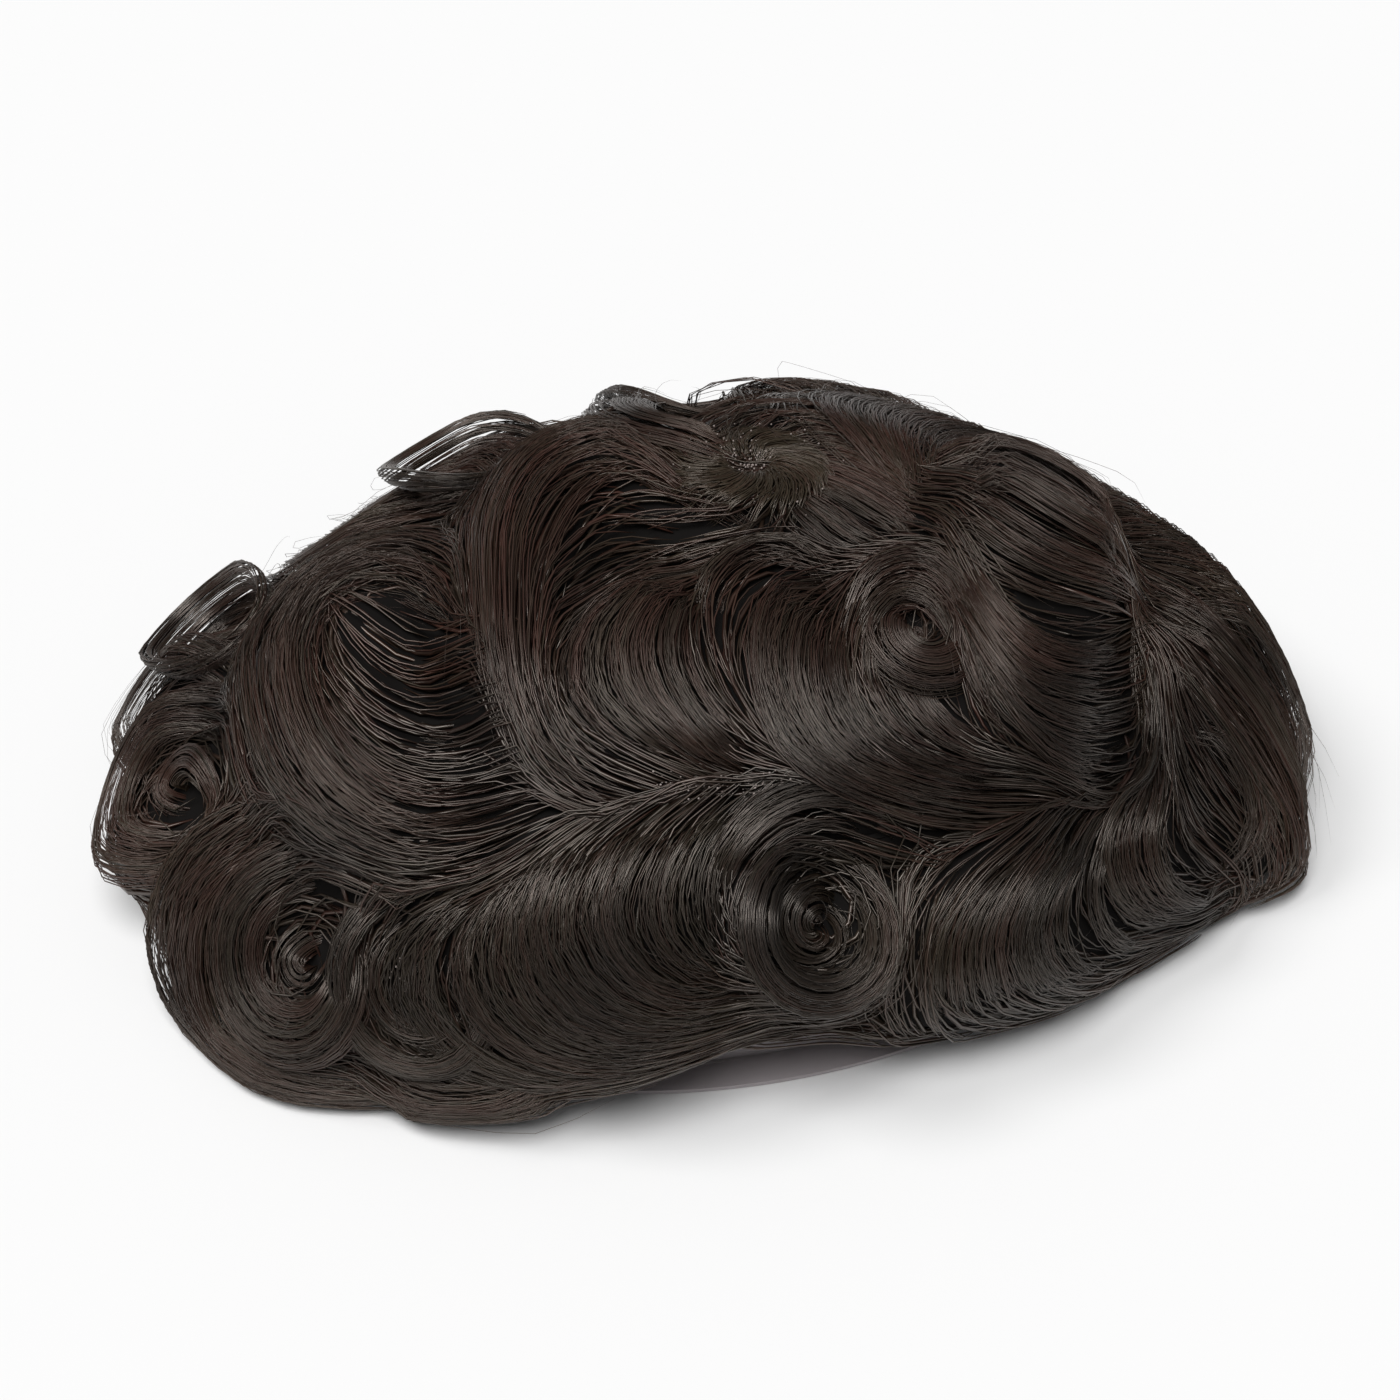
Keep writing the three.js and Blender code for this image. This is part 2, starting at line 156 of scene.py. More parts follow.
locks = [dict(zip(columns, row)) for row in rows]
COIL_TURN, MIDDLE_TURN, MIDDLE_ROOT, MIDDLE_TIP = 250, 330, 0.5, 0.05
MIDDLE_SIZE, MIDDLE_LIFT, MIDDLE_SINK = 0.5, 0.4, 0.1


def coil_middle(lock):
    """The hair wound into the middle of a coil: it goes on from the coil's tip."""
    return dict(lock, start=lock["start"] + lock["turn"], turn=math.copysign(MIDDLE_TURN, lock["turn"]),
                root=min(lock["tip"], MIDDLE_ROOT), tip=MIDDLE_TIP,
                width=MIDDLE_SIZE, thick=MIDDLE_SIZE, lift=lock["lift"] * MIDDLE_LIFT - MIDDLE_SINK, tilt=0)


locks += [coil_middle(lock) for lock in locks
          if abs(lock["turn"]) >= COIL_TURN and lock["tilt"] < STANDING_TILT]
print(len(locks), "rows of locks,", sum(lock["copies"] for lock in locks), "locks")

# %% [markdown]
# ## Following a lock
# One function gives, for any place in any lock, the point on its middle line, the direction along it, the
# direction out of the head and the direction across, away from the curl's centre. Strands and mass both use
# it. A lock swells from its root and tapers to its tip, and its ends are sunk in the hair beneath.

# %% Lock frames
SWELL, TAPER = 0.3, 0.35
END_WIDTH, END_THICK, END_LIFT, END_SINK = 0.4, 0.35, 0.2, 0.25
NUDGE = 0.01
UP = np.array([0.0, 0, 1])


def middle_line(lock, copy, t):
    """Points on the lock dome at shares t of the lock's length. copy may lie between two copies."""
    copy = np.asarray(copy, float)[..., None]
    centre = on_dome(lock_dome, lock["round"] + copy * lock["step_round"],
                     lock["down"] + copy * lock["step_down"])
    out = dome_normal(lock_dome, centre)
    side = unit(np.cross(UP, out))
    up = np.cross(out, side)
    clock = np.radians(lock["start"] + lock["turn"] * t)[..., None]
    radius = CURL_RADIUS * (mix(lock["root"], lock["tip"], t) + copy * lock["step_radius"])[..., None]
    flat = centre + side * radius * np.sin(clock) + up * radius * np.cos(clock)
    flat[..., 2] = np.maximum(flat[..., 2], 0)
    return onto_dome(lock_dome, flat), centre


def lock_frames(lock, copy, t):
    line, centre = middle_line(lock, copy, t)
    along = unit(middle_line(lock, copy, t + NUDGE)[0] - middle_line(lock, copy, t - NUDGE)[0])
    out = dome_normal(lock_dome, line)
    across = unit(np.cross(along, out))
    outward = np.sign((across * (line - centre)).sum(-1, keepdims=True))
    across = across * np.where(outward == 0, 1, outward)
    body = ease(t / SWELL) * ease((1 - t) / TAPER)
    lift = LOCK_THICKNESS * (lock["lift"] * mix(END_LIFT, 1, body) - END_SINK * (1 - body))
    half = LOCK_WIDTH * lock["width"] * mix(END_WIDTH, 1, body) / 2
    depth = LOCK_THICKNESS * lock["thick"] * mix(END_THICK, 1, body) / 2
    lean = math.radians(lock["tilt"])
    return {
        "line": line,
        "out": out,
        "across": across,
        "wide": across * math.cos(lean) + out * math.sin(lean),
        "thick": out * math.cos(lean) - across * math.sin(lean),
        "lift": lift[..., None],
        "half": half[..., None],
        "depth": depth[..., None],
    }


def lock_length(lock):
    return CURL_RADIUS * (lock["root"] + lock["tip"]) / 2 * math.radians(abs(lock["turn"]))


print("longest lock", round(max(lock_length(lock) for lock in locks)), "mm")

# %% [markdown]
# ## Combed sheets
# The side that faces the camera isn't wound in circles. There the hair is combed in broad sheets that bend
# and slip past each other. A sheet is a few guides side by side, each a smooth path over the lock dome with
# the height at which its hair stands. A strand runs between two guides and takes its shape from both.

# %% Sheets
# section, and for each guide its height in millimetres and its places: degrees round the head, share down it
sheets = [
    # the broad sweep that leaves the whorl and runs round the hollow
    ("crown_sweep", [
        (4, [(-96, 0.16), (-84, 0.36), (-69, 0.38), (-39, 0.28), (0, 0.25), (30, 0.31), (48, 0.41),
            (59, 0.44)]),
        (7, [(-98, 0.08), (-75, 0.20), (-54, 0.22), (-20, 0.20), (18, 0.23), (43, 0.33), (55, 0.40),
            (64, 0.42)]),
        (3, [(-98, 0.07), (-75, 0.15), (-49, 0.16), (-9, 0.16), (19, 0.20), (40, 0.28), (55, 0.36),
            (69, 0.40)]),
    ]),
    # the hair inside the hollow
    ("crown_sweep", [
        (-4, [(-97, 0.06), (-66, 0.10), (-42, 0.13), (-7, 0.15)]),
        (-3, [(98, 0.02), (10, 0.05), (17, 0.10), (25, 0.16)]),
    ]),
    # the nested waves under the hollow
    ("crown_sweep", [
        (2, [(70, 0.08), (37, 0.13), (34, 0.21), (45, 0.30), (58, 0.36), (71, 0.39)]),
        (6, [(77, 0.10), (55, 0.14), (53, 0.22), (61, 0.30), (73, 0.36), (83, 0.39)]),
        (5, [(82, 0.10), (68, 0.15), (68, 0.23), (75, 0.31), (82, 0.37), (90, 0.40)]),
        (0, [(84, 0.10), (79, 0.17), (82, 0.25), (87, 0.32), (93, 0.39)]),
    ]),
    # the small loop over the waves
    ("crown_sweep", [
        (3, [(79, 0.18), (77, 0.11), (102, 0.06), (144, 0.07), (145, 0.13), (139, 0.17)]),
        (1, [(83, 0.19), (89, 0.12), (108, 0.09), (130, 0.10), (131, 0.14), (124, 0.19)]),
    ]),
    # the hair that leaves the whorl towards the nape
    ("crown_sweep", [
        (1, [(-137, 0.12), (-181, 0.11), (-205, 0.15), (-200, 0.20)]),
        (2, [(-128, 0.17), (-148, 0.19), (-173, 0.21), (-196, 0.25)]),
        (3, [(-117, 0.21), (-130, 0.27), (-153, 0.24), (-186, 0.25)]),
        (5, [(-97, 0.23), (-110, 0.31), (-122, 0.33), (-143, 0.27), (-175, 0.25)]),
    ]),
    # the waves that pass the swirl on the left
    ("crown_swirl", [
        (5, [(136, 0.16), (114, 0.14), (94, 0.20), (90, 0.30), (92, 0.39), (100, 0.47), (110, 0.53)]),
        (5, [(128, 0.19), (111, 0.19), (98, 0.26), (96, 0.34), (99, 0.42), (107, 0.49), (116, 0.54)]),
        (3, [(125, 0.20), (110, 0.25), (104, 0.32), (104, 0.40), (109, 0.46), (117, 0.52)]),
        (1, [(126, 0.22), (115, 0.27), (110, 0.35), (111, 0.42), (116, 0.48), (124, 0.54)]),
        (1, [(126, 0.30), (121, 0.34), (119, 0.40), (121, 0.46), (126, 0.51), (132, 0.57)]),
    ]),
    # the arch of the swirl
    ("crown_swirl", [
        (5, [(117, 0.23), (136, 0.19), (151, 0.22), (147, 0.27), (134, 0.35), (127, 0.43), (127, 0.53)]),
        (4, [(114, 0.27), (126, 0.22), (142, 0.23), (140, 0.28), (130, 0.34), (124, 0.42), (123, 0.51)]),
        (2, [(112, 0.39), (111, 0.33), (120, 0.25), (135, 0.24), (138, 0.27), (130, 0.33), (120, 0.39)]),
        (-1, [(120, 0.37), (117, 0.33), (122, 0.28), (132, 0.26), (134, 0.28), (129, 0.32), (122, 0.34)]),
    ]),
    # the waves on the right of the swirl
    ("crown_swirl", [
        (4, [(168, 0.26), (147, 0.31), (141, 0.39), (145, 0.46), (155, 0.50)]),
        (6, [(151, 0.25), (135, 0.33), (130, 0.42), (134, 0.49), (142, 0.53)]),
        (5, [(141, 0.29), (130, 0.37), (126, 0.47), (128, 0.54), (135, 0.57)]),
        (2, [(136, 0.35), (127, 0.43), (125, 0.53), (127, 0.60), (132, 0.64)]),
    ]),
    # the roll behind the swirl
    ("crown_swirl", [
        (5, [(179, 0.22), (160, 0.26), (152, 0.32), (152, 0.39), (157, 0.46), (165, 0.49)]),
        (11, [(179, 0.24), (170, 0.29), (162, 0.35), (160, 0.41), (163, 0.47)]),
        (12, [(-172, 0.26), (-176, 0.31), (-183, 0.36), (-190, 0.41), (-196, 0.46)]),
        (8, [(-159, 0.29), (-161, 0.36), (-167, 0.41), (-177, 0.43), (-188, 0.45)]),
    ]),
    # the tall loop, and the hair that fans into it
    ("forelock", [
        (6, [(56, 0.48), (47, 0.56), (35, 0.58), (20, 0.57), (3, 0.54), (-11, 0.53), (-25, 0.49),
            (-30, 0.40), (-20, 0.29), (1, 0.27)]),
        (9, [(52, 0.45), (44, 0.51), (36, 0.52), (23, 0.50), (9, 0.47), (-3, 0.44), (-12, 0.39),
            (-11, 0.32), (4, 0.29)]),
        (2, [(43, 0.39), (37, 0.44), (27, 0.46), (12, 0.45), (0, 0.43), (-7, 0.39), (-5, 0.34)]),
        (-3, [(35, 0.33), (27, 0.37), (16, 0.40), (2, 0.41)]),
        (-4, [(19, 0.27), (12, 0.32), (4, 0.35), (-7, 0.39)]),
    ]),
    # the nested waves below the parting
    ("left_waves", [
        (3, [(56, 0.58), (48, 0.62), (45, 0.71), (48, 0.80), (55, 0.86), (64, 0.87), (71, 0.85)]),
        (5, [(60, 0.52), (55, 0.58), (53, 0.67), (56, 0.75), (63, 0.81), (71, 0.82), (79, 0.80)]),
        (6, [(65, 0.47), (60, 0.53), (59, 0.62), (62, 0.70), (68, 0.76), (76, 0.77), (82, 0.76)]),
        (6, [(72, 0.45), (67, 0.50), (65, 0.59), (68, 0.66), (73, 0.71), (80, 0.73), (85, 0.72)]),
        (5, [(80, 0.44), (74, 0.49), (72, 0.57), (74, 0.64), (79, 0.69), (84, 0.69)]),
        (3, [(88, 0.44), (82, 0.49), (80, 0.56), (81, 0.63), (84, 0.67)]),
    ]),
    # the roll towards the nape
    ("left_waves", [
        (0, [(113, 0.61), (107, 0.63), (102, 0.70), (101, 0.78), (102, 0.85)]),
        (4, [(117, 0.61), (107, 0.65), (103, 0.71), (102, 0.80), (105, 0.85)]),
        (6, [(121, 0.62), (113, 0.65), (108, 0.72), (108, 0.80), (111, 0.86)]),
        (4, [(125, 0.64), (117, 0.68), (113, 0.75), (114, 0.83), (119, 0.89)]),
        (2, [(128, 0.66), (122, 0.70), (120, 0.78), (122, 0.85), (127, 0.88)]),
    ]),
    # the wave between the roll and the nape
    ("back_fall", [
        (2, [(137, 0.62), (126, 0.66), (123, 0.75), (126, 0.83), (133, 0.88)]),
        (3, [(140, 0.65), (131, 0.70), (129, 0.79), (133, 0.87), (139, 0.88)]),
    ]),
    # the hair that falls from the roll to the nape
    ("back_fall", [
        (-2, [(149, 0.57), (139, 0.66), (136, 0.77), (138, 0.87), (137, 0.94)]),
        (-1, [(154, 0.53), (146, 0.62), (143, 0.75), (144, 0.87), (142, 0.96)]),
        (6, [(161, 0.49), (155, 0.60), (152, 0.73), (150, 0.86), (146, 0.97)]),
        (3, [(177, 0.50), (170, 0.62), (165, 0.75), (160, 0.86), (151, 0.97)]),
    ]),
]
DENSE_SAMPLES, SHEET_SAMPLES = 12, 28
RELIEF = 1.35  # the guides' heights are raised by this, for deeper waves
SHEET_OVERRUN = 0.15
SHEET_SWELL, SHEET_TAPER = 0.22, 0.28
SHEET_END_RISE, SHEET_END_SINK = 0.35, 2


def smooth_between(before, a, b, after, t):
    """Catmull-Rom: a smooth value between a and b."""
    bend = 2 * before - 5 * a + 4 * b - after
    return a + t * (b - before + t * (bend + t * (3 * (a - b) + after - before))) / 2


def smooth_path(corners):
    """Evenly spaced points on the lock dome along a smooth curve through corners."""
    corners = [2 * corners[0] - corners[1], *corners, 2 * corners[-1] - corners[-2]]
    t = np.linspace(0, 1, DENSE_SAMPLES, endpoint=False)[:, None]
    dense = np.concatenate([smooth_between(*corners[i:i + 4], t) for i in range(len(corners) - 3)])
    dense = onto_dome(lock_dome, np.concatenate([dense, corners[-2][None]]))
    gone = np.concatenate([[0], np.cumsum(np.linalg.norm(np.diff(dense, axis=0), axis=-1))])
    even = np.linspace(0, gone[-1], SHEET_SAMPLES)
    return np.stack([np.interp(even, gone, dense[:, axis]) for axis in range(3)], -1)


class Sheet:
    """A section's name and guides, each a height and corners on the lock dome."""

    def __init__(self, section, guides):
        self.section = section
        self.paths = np.stack([smooth_path(corners) for _, corners in guides])
        self.heights = RELIEF * np.array([height for height, _ in guides])
        self.last = len(guides) - 1
        self.width = np.linalg.norm(np.diff(self.paths, axis=0), axis=-1).mean(1).sum()
        ways = unit(np.diff(self.paths, axis=1))
        turns = np.degrees(np.arccos(np.clip((ways[:, 1:] * ways[:, :-1]).sum(-1), -1, 1)))
        self.turn = turns.sum(1).mean()
        self.length = np.linalg.norm(np.diff(self.paths, axis=1), axis=-1).sum(1).mean()

    def across(self, values, place):
        """Smoothly mixes one value for each guide at place, 0 at the first guide and last at the last."""
        cell = np.clip(place.astype(int), 0, self.last - 1)
        near = [values[np.clip(cell + step, 0, self.last)] for step in (-1, 0, 1, 2)]
        t = (place - cell).reshape(place.shape + (1,) * (near[0].ndim - place.ndim))
        return smooth_between(*near, t)

    def line(self, place, t):
        """Points on the lock dome for strands at place [strand], at shares t [strand, step] of their length."""
        paths = self.across(self.paths, place)
        spot = np.clip(t, -SHEET_OVERRUN, 1 + SHEET_OVERRUN) * (SHEET_SAMPLES - 1)
        cell = np.clip(spot.astype(int), 0, SHEET_SAMPLES - 2)
        rows = np.arange(len(place))[:, None]
        start, stop = paths[rows, cell], paths[rows, cell + 1]
        return onto_dome(lock_dome, start + (stop - start) * (spot - cell)[..., None])

    def height(self, place, t):
        body = ease(t / SHEET_SWELL) * ease((1 - t) / SHEET_TAPER)
        full = self.across(self.heights, place)[:, None]
        return mix(full * SHEET_END_RISE - SHEET_END_SINK, full, body)


def comb(section, guides):
    return Sheet(section, [(height, [on_dome(lock_dome, *place) for place in places])
                           for height, places in guides])


combed = [comb(section, guides) for section, guides in sheets]
print(len(combed), "sheets, the widest", round(max(sheet.width for sheet in combed)), "mm")

# %% [markdown]
# ## The whorl
# At the crown the hair leaves one spot on all sides and bends one way. That is a sheet too: its guides are
# the spokes of a wheel, all turned alike, and the last spoke is the first again. The skin is near here and
# shows between the hairs, and this hair is painted paler as a sheen.

# %% Whorl
WHORL_ROUND, WHORL_DOWN, WHORL_REACH = -118, 0.155, 19
WHORL_EYE, WHORL_HEIGHT = 0.06, 2.5
WHORL_SPIN, WHORL_SPOKES, SPOKE_CORNERS = 60, 10, 4
# the whorl's hair is painted paler, a painted sheen, and made more ashen
WHORL_PAINTED_SHEEN, WHORL_ASHEN = 1.4, 0.6


def whorl_guides():
    middle = on_dome(lock_dome, WHORL_ROUND, WHORL_DOWN)
    out = dome_normal(lock_dome, middle)
    side = unit(np.cross(UP, out))
    up = np.cross(out, side)
    away = np.linspace(WHORL_EYE, 1, SPOKE_CORNERS)[:, None]
    guides = []
    for spoke in range(WHORL_SPOKES + 1):
        angle = 2 * np.pi * spoke / WHORL_SPOKES + math.radians(WHORL_SPIN) * away
        corners = middle + WHORL_REACH * away * (side * np.sin(angle) + up * np.cos(angle))
        guides.append((WHORL_HEIGHT, onto_dome(lock_dome, corners)))
    return guides


whorl = Sheet("crown_sweep", whorl_guides())
combed.append(whorl)
print("whorl", round(whorl.width), "mm round its spokes, each", round(whorl.length), "mm long")

# %% [markdown]
# ## Meshes from arrays
# A head of hair is far too many strokes for the modelling tools, so strands are worked out as arrays of
# points and written into one mesh for each section. A strand is a thin closed prism with a flat underside
# and a crest, which covers more skin for its faces than a round tube, and still catches the light along its
# length.

# %% Mesh helpers
def new_mesh(name, points, quads, triangles, attributes=()):
    """One object from arrays, in millimetres from the dome's middle."""
    mesh = bpy.data.meshes.new(name)
    mesh.from_pydata(((points + dome_middle) * MM).tolist(), [], quads.tolist() + triangles.tolist())
    for label, values in attributes:
        mesh.attributes.new(label, "FLOAT", "POINT").data.foreach_set("value", values.astype(np.float32))
    mesh.polygons.foreach_set("use_smooth", np.arange(len(mesh.polygons)) < len(quads))
    mesh.update()
    thing = bpy.data.objects.new(name, mesh)
    bpy.context.collection.objects.link(thing)
    return thing


def prism_faces(strands, steps, corners, band):
    """Quads round each prism and the triangles that close its ends, for points laid out [strand, step, corner].
    The ends are fans, or strips if the corners go along one edge of a band and back along the other."""
    s, i, c = np.meshgrid(np.arange(strands), np.arange(steps - 1), np.arange(corners), indexing="ij")
    n = (c + 1) % corners

    def at(step, corner):
        return (s * steps + step) * corners + corner

    quads = np.stack([at(i, c), at(i, n), at(i + 1, n), at(i + 1, c)], -1).reshape(-1, 4)
    c = np.arange(1, corners - 1)
    ends = np.stack([np.zeros_like(c), c, c + 1], -1)
    if band:
        c = np.arange(corners // 2 - 1)
        far = corners - 1 - c
        ends = np.concatenate([np.stack([c, c + 1, far], -1), np.stack([c + 1, far - 1, far], -1)])
    first = (np.arange(strands) * steps * corners)[:, None, None]
    last = first + (steps - 1) * corners
    return quads, np.concatenate([(first + ends[:, ::-1]).reshape(-1, 3), (last + ends).reshape(-1, 3)])


class Batch:
    """Collects prisms of many lengths for one mesh."""

    def __init__(self):
        self.points, self.quads, self.triangles = [], [], []
        self.attributes = {}
        self.count = 0

    def add(self, rings, band=False, **attributes):
        """rings is [strand, step, corner, xyz], and each attribute is [strand, step] or [strand]."""
        strands, steps, corners = rings.shape[:3]
        quads, triangles = prism_faces(strands, steps, corners, band)
        self.points.append(rings.reshape(-1, 3))
        self.quads.append(quads + self.count)
        self.triangles.append(triangles + self.count)
        self.count += strands * steps * corners
        for label, values in attributes.items():
            values = values.reshape(strands, -1, 1) * np.ones((1, steps, corners))
            self.attributes.setdefault(label, []).append(values.reshape(-1))

    def mesh(self, name):
        merged = [(label, np.concatenate(parts)) for label, parts in self.attributes.items()]
        thing = new_mesh(name, np.concatenate(self.points), np.concatenate(self.quads),
                         np.concatenate(self.triangles), merged)
        faces = 2 * sum(map(len, self.quads)) + sum(map(len, self.triangles))
        print(name, faces, "triangles")
        return thing


# %% [markdown]
# ## How the hair settles
# The real hair doesn't keep to one dome. On the far side and over the nape it lies closer to the head, the
# curl at the near corner bulges, and one tail flips out behind. Each spot in the table pushes the hair
# round it in or out.

# %% Settling
# degrees round the head, share down it, how far the push reaches in both, and the push in millimetres
settle_spots = [
    (200, 0.75, 26, 0.24, -8),
    (228, 0.6, 22, 0.22, -3),
    (179, 0.94, 17, 0.2, -7),
    (-48, 0.6, 30, 0.22, -7),
    (7, 0.94, 11, 0.14, 5),
    (37, 0.96, 14, 0.14, 4),
    (146, 0.98, 8, 0.12, 8.5),
]


def settled(points):
    away = unit(points / half_sizes(lock_dome, points))
    down = np.arccos(np.clip(away[..., 2], -1, 1)) * 2 / np.pi
    round_head = np.degrees(np.arctan2(away[..., 0], -away[..., 1]))
    push = 0
    for centre, level, reach, depth, amount in settle_spots:
        turn = (round_head - centre + 180) % 360 - 180
        push = push + amount * np.exp(-(turn / reach) ** 2 - ((down - level) / depth) ** 2)
    return points + dome_normal(lock_dome, points) * push[..., None]


tail = on_dome(lock_dome, settle_spots[-1][0], settle_spots[-1][1])
print("the tail flips out by", round(float(np.linalg.norm(settled(tail) - tail)), 1), "mm")

# %% [markdown]
# ## Where hair can't go
# A strand that dips under the skin or through the table would show from below, so every point is pushed out
# of the base dome, off the bare margin and up from the surface.

# %% Keep clear
SKIN_CLEAR = 0.7
TABLE_CLEAR = 0.35
MARGIN_TOP = 1
DEEPEST = 0.2  # a point nearer to the middle than this share of its way out is pushed only part of the way


def keep_clear(points, clear=SKIN_CLEAR):
    inner = {way: half + clear for way, half in base_dome.items()}
    share = np.linalg.norm(points / half_sizes(inner, points), axis=-1, keepdims=True)
    points = np.where(share < 1, points / np.maximum(share, DEEPEST), points)
    edge = {way: half + MARGIN for way, half in base_dome.items()}
    flat = points * np.array([1, 1, 0])
    over_margin = np.linalg.norm(flat / half_sizes(edge, points), axis=-1) < 1
    lowest = np.where(over_margin, MARGIN_TOP + TABLE_CLEAR, TABLE_CLEAR)
    points[..., 2] = np.maximum(points[..., 2], lowest)
    return points


print("hair keeps", SKIN_CLEAR, "mm off the skin and", TABLE_CLEAR, "mm off the table")

# %% [markdown]
# ## A chart of the whole head
# Hair between two locks lies the way its neighbours lie. So the dome is spread out flat as a chart, a
# degree to a square, and each square learns from the locks near it which way the hair runs and how high it
# stands. The way is kept as a tensor, in which hair that runs north and hair that runs south are alike, so
# that two locks that wind in opposite senses don't cancel where they meet.

# %% Chart
CHART_EDGE = 96
LAST_DEGREE = 92
SAMPLE_STEP = 3
VALLEY = -2.2
CHUNK = 4000  # squares worked out at a time, to spare memory
GUIDE_REACH, GUIDE_EXTRA = 0.7, 2  # a guide's half width: a share of the gap to the next, and millimetres more
OWN_WAY = 0.15  # the lower, the more a square takes the way of the nearest hair alone
HEIGHT_FALL, HEIGHT_POWER = 0.7, 2.5  # how soon the hair sinks to the valley beside a lock
SMOOTHINGS = 2


def lock_samples():
    """Points along all locks that lie on the head, with their ways, half widths and heights."""
    found = []
    for lock in locks:
        if lock["tilt"] >= STANDING_TILT:
            continue
        steps = int(lock_length(lock) / SAMPLE_STEP) + 2
        for copy in np.arange(2 * lock["copies"]) / 2:
            frames = lock_frames(lock, np.array([copy]), np.linspace(0, 1, steps)[None])
            along = unit(np.gradient(frames["line"], axis=1))
            top = frames["lift"] + frames["depth"]
            found.append(np.concatenate([frames["line"], along, frames["half"], top], -1)[0])
    for sheet in combed:
        place = np.linspace(0, sheet.last, 2 * sheet.last + 1)
        t = np.tile(np.linspace(0, 1, int(sheet.length / SAMPLE_STEP) + 2), (len(place), 1))
        line = sheet.line(place, t)
        along = unit(np.gradient(line, axis=1))
        half = np.full((*t.shape, 1), GUIDE_REACH * sheet.width / sheet.last + GUIDE_EXTRA)
        found.append(np.concatenate([line, along, half, sheet.height(place, t)[..., None]], -1).reshape(-1, 8))
    return np.concatenate(found)


def make_chart():
    side = np.arange(-CHART_EDGE, CHART_EDGE + 1)
    flat = np.stack(np.meshgrid(side, side, indexing="ij"), -1).reshape(-1, 2).astype(float)
    fall = np.linalg.norm(flat, axis=-1)
    turn = np.radians(np.minimum(fall, LAST_DEGREE))
    away = flat / np.maximum(fall, 1e-6)[:, None] * np.sin(turn)[:, None]
    spots = np.concatenate([away, np.cos(turn)[:, None]], -1)
    spots = spots * half_sizes(lock_dome, spots)
    samples = lock_samples()
    ways = samples[:, 3:6, None] * samples[:, None, 3:6]
    tensor = np.empty((len(spots), 3, 3))
    height = np.empty(len(spots))
    for first in range(0, len(spots), CHUNK):
        part = slice(first, first + CHUNK)
        gap = np.linalg.norm(spots[part, None] - samples[None, :, :3], axis=-1) / (samples[:, 6] + 1)
        weight = 1 / (OWN_WAY + gap ** 2) ** 3
        tensor[part] = np.tensordot(weight / weight.sum(-1, keepdims=True), ways, 1)
        near = np.exp(-HEIGHT_FALL * gap ** HEIGHT_POWER)
        height[part] = ((samples[:, 7] - VALLEY) * near).max(-1) + VALLEY
    shape = (len(side), len(side))
    height = height.reshape(shape)
    for _ in range(SMOOTHINGS):
        height[1:-1, 1:-1] = (height[1:-1, 1:-1] * 2 + height[:-2, 1:-1] + height[2:, 1:-1]
                              + height[1:-1, :-2] + height[1:-1, 2:]) / 6
    return tensor.reshape(*shape, 3, 3), height


way_chart, height_chart = make_chart()


def read_chart(chart, points):
    """The chart's value at points, mixed from the four squares round each."""
    away = unit(points / half_sizes(lock_dome, points))
    fall = np.degrees(np.arccos(np.clip(away[..., 2], -1, 1)))
    flat = away[..., :2] / np.maximum(np.linalg.norm(away[..., :2], axis=-1, keepdims=True), 1e-6)
    place = np.clip(flat * fall[..., None] + CHART_EDGE, 0, 2 * CHART_EDGE - 1e-6)
    cell = place.astype(int)
    rest = place - cell
    value = 0
    for i in (0, 1):
        for j in (0, 1):
            share = (rest[..., 0] if i else 1 - rest[..., 0]) * (rest[..., 1] if j else 1 - rest[..., 1])
            square = np.minimum(cell + (i, j), 2 * CHART_EDGE)
            found = chart[square[..., 0], square[..., 1]]
            value = value + share.reshape(share.shape + (1,) * (found.ndim - share.ndim)) * found
    return value


print("hair stands", round(height_chart.min(), 1), "to", round(height_chart.max(), 1), "mm off the lock dome")

# %% [markdown]
# ## One hair
# A strand is a line of points with a cross section. The section is a low crest on a flat underside, thin at
# the root and thinner at the tip. No hair is quite still along its length, so each drifts a little to its
# side.

# %% Hair prisms
HAIR_HALF_WIDTH, HAIR_HEIGHT = 0.14, 0.13
ROOT_SHARE, TIP_SHARE = 0.35, 0.15  # thickness at both ends, against the middle
ROOT_SLOPE, TIP_SLOPE = 12, 4
CREST_LIMIT = 1.5  # a broader hair isn't higher than this
WANDER_WAVES, WANDER_SHARE = (0.5, 1.5), (0.3, 1)
SEED = 11
random = np.random.default_rng(SEED)


def hair_prisms(line, out, thinness):
    """Crested prisms along lines [strand, step, xyz]. thinness is [strand] and scales the section."""
    along = unit(np.gradient(line, axis=1))
    side = unit(np.cross(along, out))
    crest = np.cross(side, along)
    share = np.linspace(0, 1, line.shape[1])
    taper = np.minimum(1, np.minimum(share * ROOT_SLOPE + ROOT_SHARE, (1 - share) * TIP_SLOPE + TIP_SHARE))
    width = (HAIR_HALF_WIDTH * thinness[:, None] * taper)[..., None]
    height = (HAIR_HEIGHT * np.minimum(thinness, CREST_LIMIT)[:, None] * taper)[..., None]
    return np.stack([line - side * width, line + crest * height, line + side * width], 2)


def wander(count, steps, size):
    """Slow sideways drift, [strand, step], that grows from the root."""
    share = np.linspace(0, 1, steps)[None]
    phase, pace = random.uniform(0, 2 * np.pi, (count, 1)), random.uniform(*WANDER_WAVES, (count, 1))
    return size * share * np.sin(phase + 2 * np.pi * pace * share) * random.uniform(*WANDER_SHARE, (count, 1))


print("a hair is", 2 * HAIR_HALF_WIDTH, "mm wide and", HAIR_HEIGHT, "mm high")

# %% [markdown]
# ## The hem
# On the side of the camera the hair ends above the skin's margin, so a strip of the film shows there. A
# strand that would pass the hem isn't cut. It bends and runs along it, as the real hair is combed.

